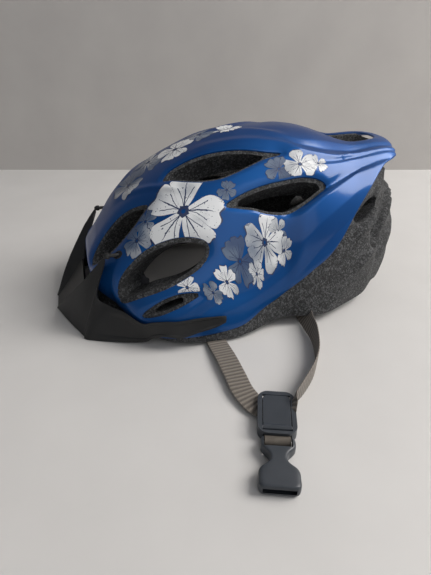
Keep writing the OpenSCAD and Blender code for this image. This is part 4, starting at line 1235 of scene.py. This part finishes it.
class NodeBook:
    """Small helper that adds and links shader nodes of one material."""

    def __init__(self, name: str) -> None:
        """Starts a material with a Principled shader."""
        self.material = bpy.data.materials.new(name)
        self.material.use_nodes = True
        self.tree = self.material.node_tree
        self.shader = self.tree.nodes["Principled BSDF"]

    def add(self, kind: str, **settings: object) -> bpy.types.Node:
        """Adds a node; settings whose names are inputs set their values, others set properties."""
        node = self.tree.nodes.new(kind)
        for key, value in settings.items():
            if key in node.inputs:
                node.inputs[key].default_value = value
            else:
                setattr(node, key, value)
        return node

    def link(self, source: bpy.types.NodeSocket, target: bpy.types.NodeSocket) -> None:
        """Links two sockets."""
        self.tree.links.new(source, target)

    def coordinates(self) -> bpy.types.NodeSocket:
        """Object coordinates, in metres."""
        return self.add("ShaderNodeTexCoord").outputs["Object"]

    def noise(self, scale: float, detail: float = 3.0, roughness: float = 0.5) -> bpy.types.NodeSocket:
        """Noise over object coordinates, as a factor."""
        node = self.add("ShaderNodeTexNoise", Scale=scale, Detail=detail, Roughness=roughness)
        self.link(self.coordinates(), node.inputs["Vector"])
        return node.outputs["Fac"]

    def ramp(self, factor: bpy.types.NodeSocket, stops: tuple[tuple[float, Colour], ...]) -> bpy.types.NodeSocket:
        """Colour ramp over a factor."""
        node = self.add("ShaderNodeValToRGB")
        self.link(factor, node.inputs["Fac"])
        elements = node.color_ramp.elements
        while len(elements) < len(stops):
            elements.new(0.5)
        for element, (at, colour) in zip(elements, stops):
            element.position = at
            element.color = (*colour, 1)
        return node.outputs["Color"]

    def maths(self, kind: str, *values: bpy.types.NodeSocket | float) -> bpy.types.NodeSocket:
        """Math node over sockets and numbers."""
        node = self.add("ShaderNodeMath", operation=kind)
        for place, value in zip(node.inputs, values):
            if isinstance(value, (int, float)):
                place.default_value = value
            else:
                self.link(value, place)
        return node.outputs[0]

    def bumped(self, height: bpy.types.NodeSocket, strength: float, distance: float,
               before: bpy.types.NodeSocket | None = None) -> bpy.types.NodeSocket:
        """Bump node over a height in units of distance, in metres."""
        node = self.add("ShaderNodeBump", Strength=strength, Distance=distance)
        self.link(height, node.inputs["Height"])
        if before is not None:
            self.link(before, node.inputs["Normal"])
        return node.outputs["Normal"]

    def settle(self, **inputs: object) -> None:
        """Sets the shader's own sockets; underscores stand for spaces."""
        for key, value in inputs.items():
            self.shader.inputs[key.replace("_", " ")].default_value = value


class Finish:
    """A finish that makes its material once and dresses pieces with it."""

    name = "finish"

    def __init__(self) -> None:
        """Builds the material."""
        self.book = NodeBook(self.name)
        self.draw(self.book)

    def draw(self, book: NodeBook) -> None:
        """Adds the finish's nodes."""

    def dress(self, *pieces: bpy.types.Object) -> None:
        """Gives pieces this material alone."""
        for piece in pieces:
            piece.data.materials.clear()
            piece.data.materials.append(self.book.material)


class BluePaint(Finish):
    """Glossy metallic blue under a clear coat, darker where it turns away."""

    name = "blue_paint"

    def draw(self, book: NodeBook) -> None:
        """A slow drift between two blues, a fine flake and a clear coat."""
        book.link(
            book.ramp(book.noise(9.0, 2.0), ((0.35, (0.003, 0.042, 0.17)), (0.7, (0.006, 0.080, 0.28)))),
            book.shader.inputs["Base Color"],
        )
        book.link(book.bumped(book.noise(4200.0, 1.0), 0.12, 0.0002), book.shader.inputs["Normal"])
        book.settle(Metallic=0.5, Roughness=0.52, Specular_Tint=(0.12, 0.30, 0.62, 1), Coat_Weight=0.55,
                    Coat_Roughness=0.13, Coat_IOR=1.45)


class PrintInk(Finish):
    """The print: worn silver-white petals with navy outlines, veins and specks, under the same clear coat."""

    name = "print_ink"

    def draw(self, book: NodeBook) -> None:
        """Masks over the petals' UV, where x runs outwards and y across, roughened by noise."""
        uv = book.add("ShaderNodeUVMap", uv_map="UVMap")
        wobble = book.add("ShaderNodeTexNoise", Scale=380.0, Detail=3.0)
        book.link(book.coordinates(), wobble.inputs["Vector"])
        shift = book.add("ShaderNodeVectorMath", operation="MULTIPLY_ADD")
        book.link(wobble.outputs["Color"], shift.inputs[0])
        shift.inputs[1].default_value = (0.05, 0.05, 0)
        book.link(uv.outputs["UV"], shift.inputs[2])
        split = book.add("ShaderNodeSeparateXYZ")
        book.link(shift.outputs[0], split.inputs[0])
        tone = book.maths("GREATER_THAN", split.outputs["X"], 1.6)
        out = book.maths("MULTIPLY_ADD", tone, -2.0, book.maths("SUBTRACT", split.outputs["X"], 0.025))
        side = book.maths("ABSOLUTE", book.maths("SUBTRACT", split.outputs["Y"], 0.525))
        rim = book.maths("MAXIMUM", book.maths("GREATER_THAN", side, 0.455), book.maths("GREATER_THAN", out, 0.95))
        # a middle vein that thins outwards and two that branch from it
        fade = book.maths("MULTIPLY_ADD", out, -0.05, 0.042)
        vein = book.maths("LESS_THAN", side, fade)
        branch = book.maths("ABSOLUTE", book.maths("SUBTRACT", side, book.maths("MULTIPLY_ADD", out, 0.42, -0.02)))
        short = book.maths("LESS_THAN", out, 0.58)
        branch = book.maths("MULTIPLY", book.maths("LESS_THAN", branch, 0.016), short)
        heart = book.maths("LESS_THAN", out, 0.13)
        wear = book.maths("GREATER_THAN", book.noise(230.0, 5.0, 0.7), 0.655)
        chips = book.maths("GREATER_THAN", book.noise(700.0, 2.0), 0.7)
        navy = rim
        for mask in (vein, branch, heart, wear, chips):
            navy = book.maths("MAXIMUM", navy, mask)
        silver = book.ramp(book.maths("MULTIPLY_ADD", tone, -0.26, book.noise(30.0, 2.0)), (
            (0.1, (0.020, 0.050, 0.13)), (0.26, (0.10, 0.14, 0.21)), (0.38, (0.40, 0.42, 0.45)),
            (0.5, (0.72, 0.73, 0.74))))
        mix = book.add("ShaderNodeMix", data_type="RGBA")
        book.link(navy, mix.inputs["Factor"])
        book.link(silver, mix.inputs["A"])
        mix.inputs["B"].default_value = (0.004, 0.018, 0.075, 1)
        book.link(mix.outputs["Result"], book.shader.inputs["Base Color"])
        book.settle(Roughness=0.5, Coat_Weight=0.42, Coat_Roughness=0.19, Coat_IOR=1.45)


class BeadFoam(Finish):
    """Expanded bead foam: charcoal beads a few millimetres wide with lighter skins and dark joints."""

    name = "bead_foam"

    def draw(self, book: NodeBook) -> None:
        """Bead cells for colour and bump, with a finer grain over them."""
        cells = book.add("ShaderNodeTexVoronoi", Scale=820.0, feature="DISTANCE_TO_EDGE")
        tone = book.add("ShaderNodeTexVoronoi", Scale=820.0, feature="F1")
        for node in (cells, tone):
            book.link(book.coordinates(), node.inputs["Vector"])
        grain = book.noise(2600.0, 2.0)
        split = book.add("ShaderNodeSeparateColor")
        book.link(tone.outputs["Color"], split.inputs["Color"])
        mixed = book.add("ShaderNodeMath", operation="MULTIPLY")
        book.link(split.outputs["Red"], mixed.inputs[0])
        book.link(grain, mixed.inputs[1])
        book.link(
            book.ramp(mixed.outputs[0], ((0.08, (0.012, 0.0125, 0.0135)), (0.3, (0.034, 0.035, 0.037)),
                                         (0.55, (0.12, 0.122, 0.126)))),
            book.shader.inputs["Base Color"],
        )
        height = book.add("ShaderNodeMath", operation="SMOOTH_MIN")
        book.link(cells.outputs["Distance"], height.inputs[0])
        height.inputs[1].default_value = 0.3
        height.inputs[2].default_value = 0.1
        first = book.bumped(height.outputs[0], 0.9, 0.0012)
        book.link(book.bumped(grain, 0.25, 0.0004, first), book.shader.inputs["Normal"])
        book.settle(Roughness=0.62, IOR=1.45)


class Moulded(Finish):
    """Moulded plastic with a fine grain."""

    name = "moulded"
    low: Colour = (0.010, 0.010, 0.011)
    high: Colour = (0.018, 0.018, 0.019)
    rough = 0.5
    grain = 1500.0
    depth = 0.15

    def draw(self, book: NodeBook) -> None:
        """Slight tone drift and a fine moulded grain."""
        book.link(book.ramp(book.noise(60.0), ((0.3, self.low), (0.7, self.high))), book.shader.inputs["Base Color"])
        book.link(book.bumped(book.noise(self.grain, 2.0), self.depth, 0.0002), book.shader.inputs["Normal"])
        book.settle(Roughness=self.rough)


class VisorBlack(Moulded):
    """Matte black visor plastic."""

    name = "visor_black"
    low = (0.006, 0.006, 0.0065)
    high = (0.010, 0.010, 0.0105)
    rough = 0.5


class BuckleGrey(Moulded):
    """Satin dark blue-grey buckle plastic."""

    name = "buckle_grey"
    low = (0.030, 0.036, 0.045)
    high = (0.042, 0.048, 0.058)
    rough = 0.4
    grain = 2200.0


class FitBlack(Moulded):
    """Black fit-system plastic."""

    name = "fit_black"
    low = (0.007, 0.007, 0.0075)
    high = (0.011, 0.011, 0.0115)


class KnobRubber(Moulded):
    """Soft-touch rubber of the dial."""

    name = "knob_rubber"
    rough = 0.72
    grain = 900.0
    depth = 0.3


class PinSteel(Moulded):
    """Drawn steel pins."""

    name = "pin_steel"
    low = (0.45, 0.45, 0.46)
    high = (0.56, 0.56, 0.57)
    rough = 0.3

    def draw(self, book: NodeBook) -> None:
        """As moulded, but metallic."""
        super().draw(book)
        book.settle(Metallic=1.0)


class PadKnit(Moulded):
    """Brushed knit of the pads."""

    name = "pad_knit"
    low = (0.020, 0.020, 0.024)
    high = (0.040, 0.040, 0.046)
    rough = 0.9
    grain = 1800.0
    depth = 0.6


class Weave(Finish):
    """Grey-taupe woven webbing: painted light on the ribs and painted shade between them, and a fine twill over both.
    """

    name = "weave"

    def draw(self, book: NodeBook) -> None:
        """Bands over the length along the band, which the UV holds in metres, and fine yarn across it; the bands are
        painted light on the ribs' crests and painted shade between them.
        """
        uv = book.add("ShaderNodeUVMap", uv_map="UVMap")
        split = book.add("ShaderNodeSeparateXYZ")
        book.link(uv.outputs["UV"], split.inputs[0])
        # painted light and shade: lighter on the rib crests and darker in the grooves between them, in step with the
        # ribs of the strap's mesh
        ribs = book.maths("COSINE", book.maths("MULTIPLY", split.outputs["Y"], 2 * math.pi / 0.0034))
        yarn = book.maths("SINE", book.maths("MULTIPLY", split.outputs["X"], 2 * math.pi / 0.0009))
        fuzz = book.noise(1900.0, 3.0)
        level = book.maths("MULTIPLY_ADD", ribs, 0.26, 0.42)
        level = book.maths("MULTIPLY_ADD", fuzz, 0.3, level)
        level = book.maths("MULTIPLY_ADD", yarn, 0.05, level)
        book.link(
            book.ramp(level, ((0.12, (0.052, 0.044, 0.036)), (0.6, (0.15, 0.128, 0.106)),
                              (0.95, (0.27, 0.235, 0.20)))),
            book.shader.inputs["Base Color"],
        )
        first = book.bumped(yarn, 0.4, 0.0002)
        book.link(book.bumped(fuzz, 0.4, 0.0003, first), book.shader.inputs["Normal"])
        book.settle(Roughness=0.82, Sheen_Weight=0.2, Sheen_Roughness=0.5)


class WeaveFlat(Moulded):
    """The same webbing where it turns through the buckle, without a map along it."""

    name = "weave_flat"
    low = (0.08, 0.068, 0.056)
    high = (0.17, 0.146, 0.122)
    rough = 0.85
    grain = 2500.0
    depth = 0.6


# ---------------------------------------------------------------- the studio


@dataclass(frozen=True)
class Studio:
    """Camera, table and lights."""

    azimuth: float = 73.42
    pitch: float = 30.13
    position: tuple[float, float, float] = (384.5, -144.2, 223.4)
    focal_px: float = 445.0
    frame_height_px: float = 575.0
    sensor: float = 36.0
    table_edge: float = 816.0

    def look(self) -> Vector:
        """Direction of view."""
        a, e = math.radians(self.azimuth), math.radians(self.pitch)
        return Vector((-math.sin(a) * math.cos(e), math.cos(a) * math.cos(e), -math.sin(e)))

    def camera(self) -> None:
        """Adds the camera."""
        data = bpy.data.cameras.new("camera")
        data.sensor_fit = "VERTICAL"
        data.sensor_height = self.sensor
        data.lens = self.focal_px / self.frame_height_px * self.sensor
        data.clip_start, data.clip_end = 0.01, 50
        camera = bpy.data.objects.new("camera", data)
        bpy.context.scene.collection.objects.link(camera)
        camera.location = Vector(self.position) * MM
        camera.rotation_euler = self.look().to_track_quat("-Z", "Y").to_euler()
        bpy.context.scene.camera = camera

    def lamp(self, name: str, at: tuple[float, float, float], size: float, watts: float,
             colour: Colour = (1, 1, 1)) -> None:
        """Adds a square soft lamp that points at the helmet."""
        data = bpy.data.lights.new(name, "AREA")
        data.size, data.energy, data.color = size, watts, colour
        lamp = bpy.data.objects.new(name, data)
        bpy.context.scene.collection.objects.link(lamp)
        lamp.location = at
        lamp.rotation_euler = (Vector((0, 0, 0.06)) - Vector(at)).to_track_quat("-Z", "Y").to_euler()

    def plane(self, name: str, corners: list[list[float]], low: Colour, high: Colour) -> None:
        """Adds a plain surface round the object, given its corners in millimetres.

        The surface is there only from its front, so that it hides nothing from behind or below.
        """
        book = NodeBook(name)
        book.link(book.ramp(book.noise(14.0), ((0.3, low), (0.7, high))), book.shader.inputs["Base Color"])
        book.settle(Roughness=0.55)
        mix, clear = book.add("ShaderNodeMixShader"), book.add("ShaderNodeBsdfTransparent")
        book.link(book.add("ShaderNodeNewGeometry").outputs["Backfacing"], mix.inputs[0])
        book.link(book.shader.outputs[0], mix.inputs[1])
        book.link(clear.outputs[0], mix.inputs[2])
        book.link(mix.outputs[0], book.tree.nodes["Material Output"].inputs["Surface"])
        surface = make_piece(name, Patch(np.array(corners, float), np.array([[0, 1, 2, 3]])))
        surface.data.materials.append(book.material)
        surface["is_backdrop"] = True

    def surroundings(self) -> None:
        """Adds the table, the wall that stands at its far edge and the world."""
        far, wide, tall = 3000.0, 3000.0, 2600.0
        look = self.look()
        ahead = np.array([look.x, look.y]) / math.hypot(look.x, look.y)
        side = np.array([-ahead[1], ahead[0]])
        eye = np.array(self.position[:2])
        edge = eye + ahead * self.table_edge
        a, b = edge + side * wide, edge - side * wide
        near_a, near_b, far_a, far_b = a - ahead * far, b - ahead * far, a + ahead * far, b + ahead * far
        self.plane("table_top", [[*far_a, 0], [*near_a, 0], [*near_b, 0], [*far_b, 0]],
                   (0.60, 0.585, 0.57), (0.63, 0.615, 0.60))
        self.plane("back_wall", [[*a, -200], [*b, -200], [*b, tall], [*a, tall]],
                   (0.50, 0.475, 0.455), (0.54, 0.515, 0.49))
        world = bpy.data.worlds.new("studio")
        bpy.context.scene.world = world
        world.use_nodes = True
        world.node_tree.nodes["Background"].inputs["Color"].default_value = (0.80, 0.84, 0.90, 1)
        world.node_tree.nodes["Background"].inputs["Strength"].default_value = 0.2

    def build(self) -> None:
        """Sets up everything round the object."""
        self.camera()
        self.surroundings()
        self.lamp("window", (0.35, 1.5, 1.45), 1.3, 60.0, (1.0, 0.975, 0.945))
        self.lamp("fill", (1.7, 0.1, 1.3), 1.6, 8.0, (0.97, 0.98, 1.0))
        bpy.context.scene.view_settings.view_transform = "Standard"


# ---------------------------------------------------------------- all of it


def main() -> None:
    """Builds the studio, then each part of the helmet, and dresses every node."""
    Studio().build()
    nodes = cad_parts
    BluePaint().dress(SHELL.build())
    PrintInk().dress(FloralPrint().build())
    BeadFoam().dress(Foam().build())
    visor_black, fit_black, buckle_grey, rubber = VisorBlack(), FitBlack(), BuckleGrey(), KnobRubber()
    visor_black.dress(Visor().build(), *PegMounts().build())
    Weave().dress(*Webbing().build())
    WeaveFlat().dress(nodes["buckle_web_left"], nodes["buckle_web_right"])
    buckle_grey.dress(*Hardware(
        ("divider_left", "divider_right", "buckle_plug"), "buckle_plastic", 1.2).build(), BuckleShell().build())
    buckle_grey.dress(*Hardware(("flap_left", "flap_right"), "buckle_plastic", 0.5,
                                {"flap_left": "flap_left", "flap_right": "flap_right"}).build())
    fit_black.dress(*Hardware(
        ("anchor_front_left", "anchor_rear_left", "anchor_front_right", "anchor_rear_right"),
        "anchor_plastic", 0.4).build())
    fit_black.dress(*Hardware(
        ("side_band_left", "side_band_right", "cradle", "dial_housing"), "fit_plastic", 0.4).build())
    rubber.dress(*Hardware(("dial_knob",), "knob_rubber", 0.35, {"dial_knob": "dial"}).build())
    fit_black.dress(*(nodes[name] for name in ("rack_left", "rack_right", "dial_pinion")))
    PinSteel().dress(nodes["flap_pin_left"], nodes["flap_pin_right"])
    PadKnit().dress(*(pad.build() for pad in PADS))
    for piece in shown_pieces():
        LOG.info("piece %s", piece.name)


if __name__ == "__main__":
    main()
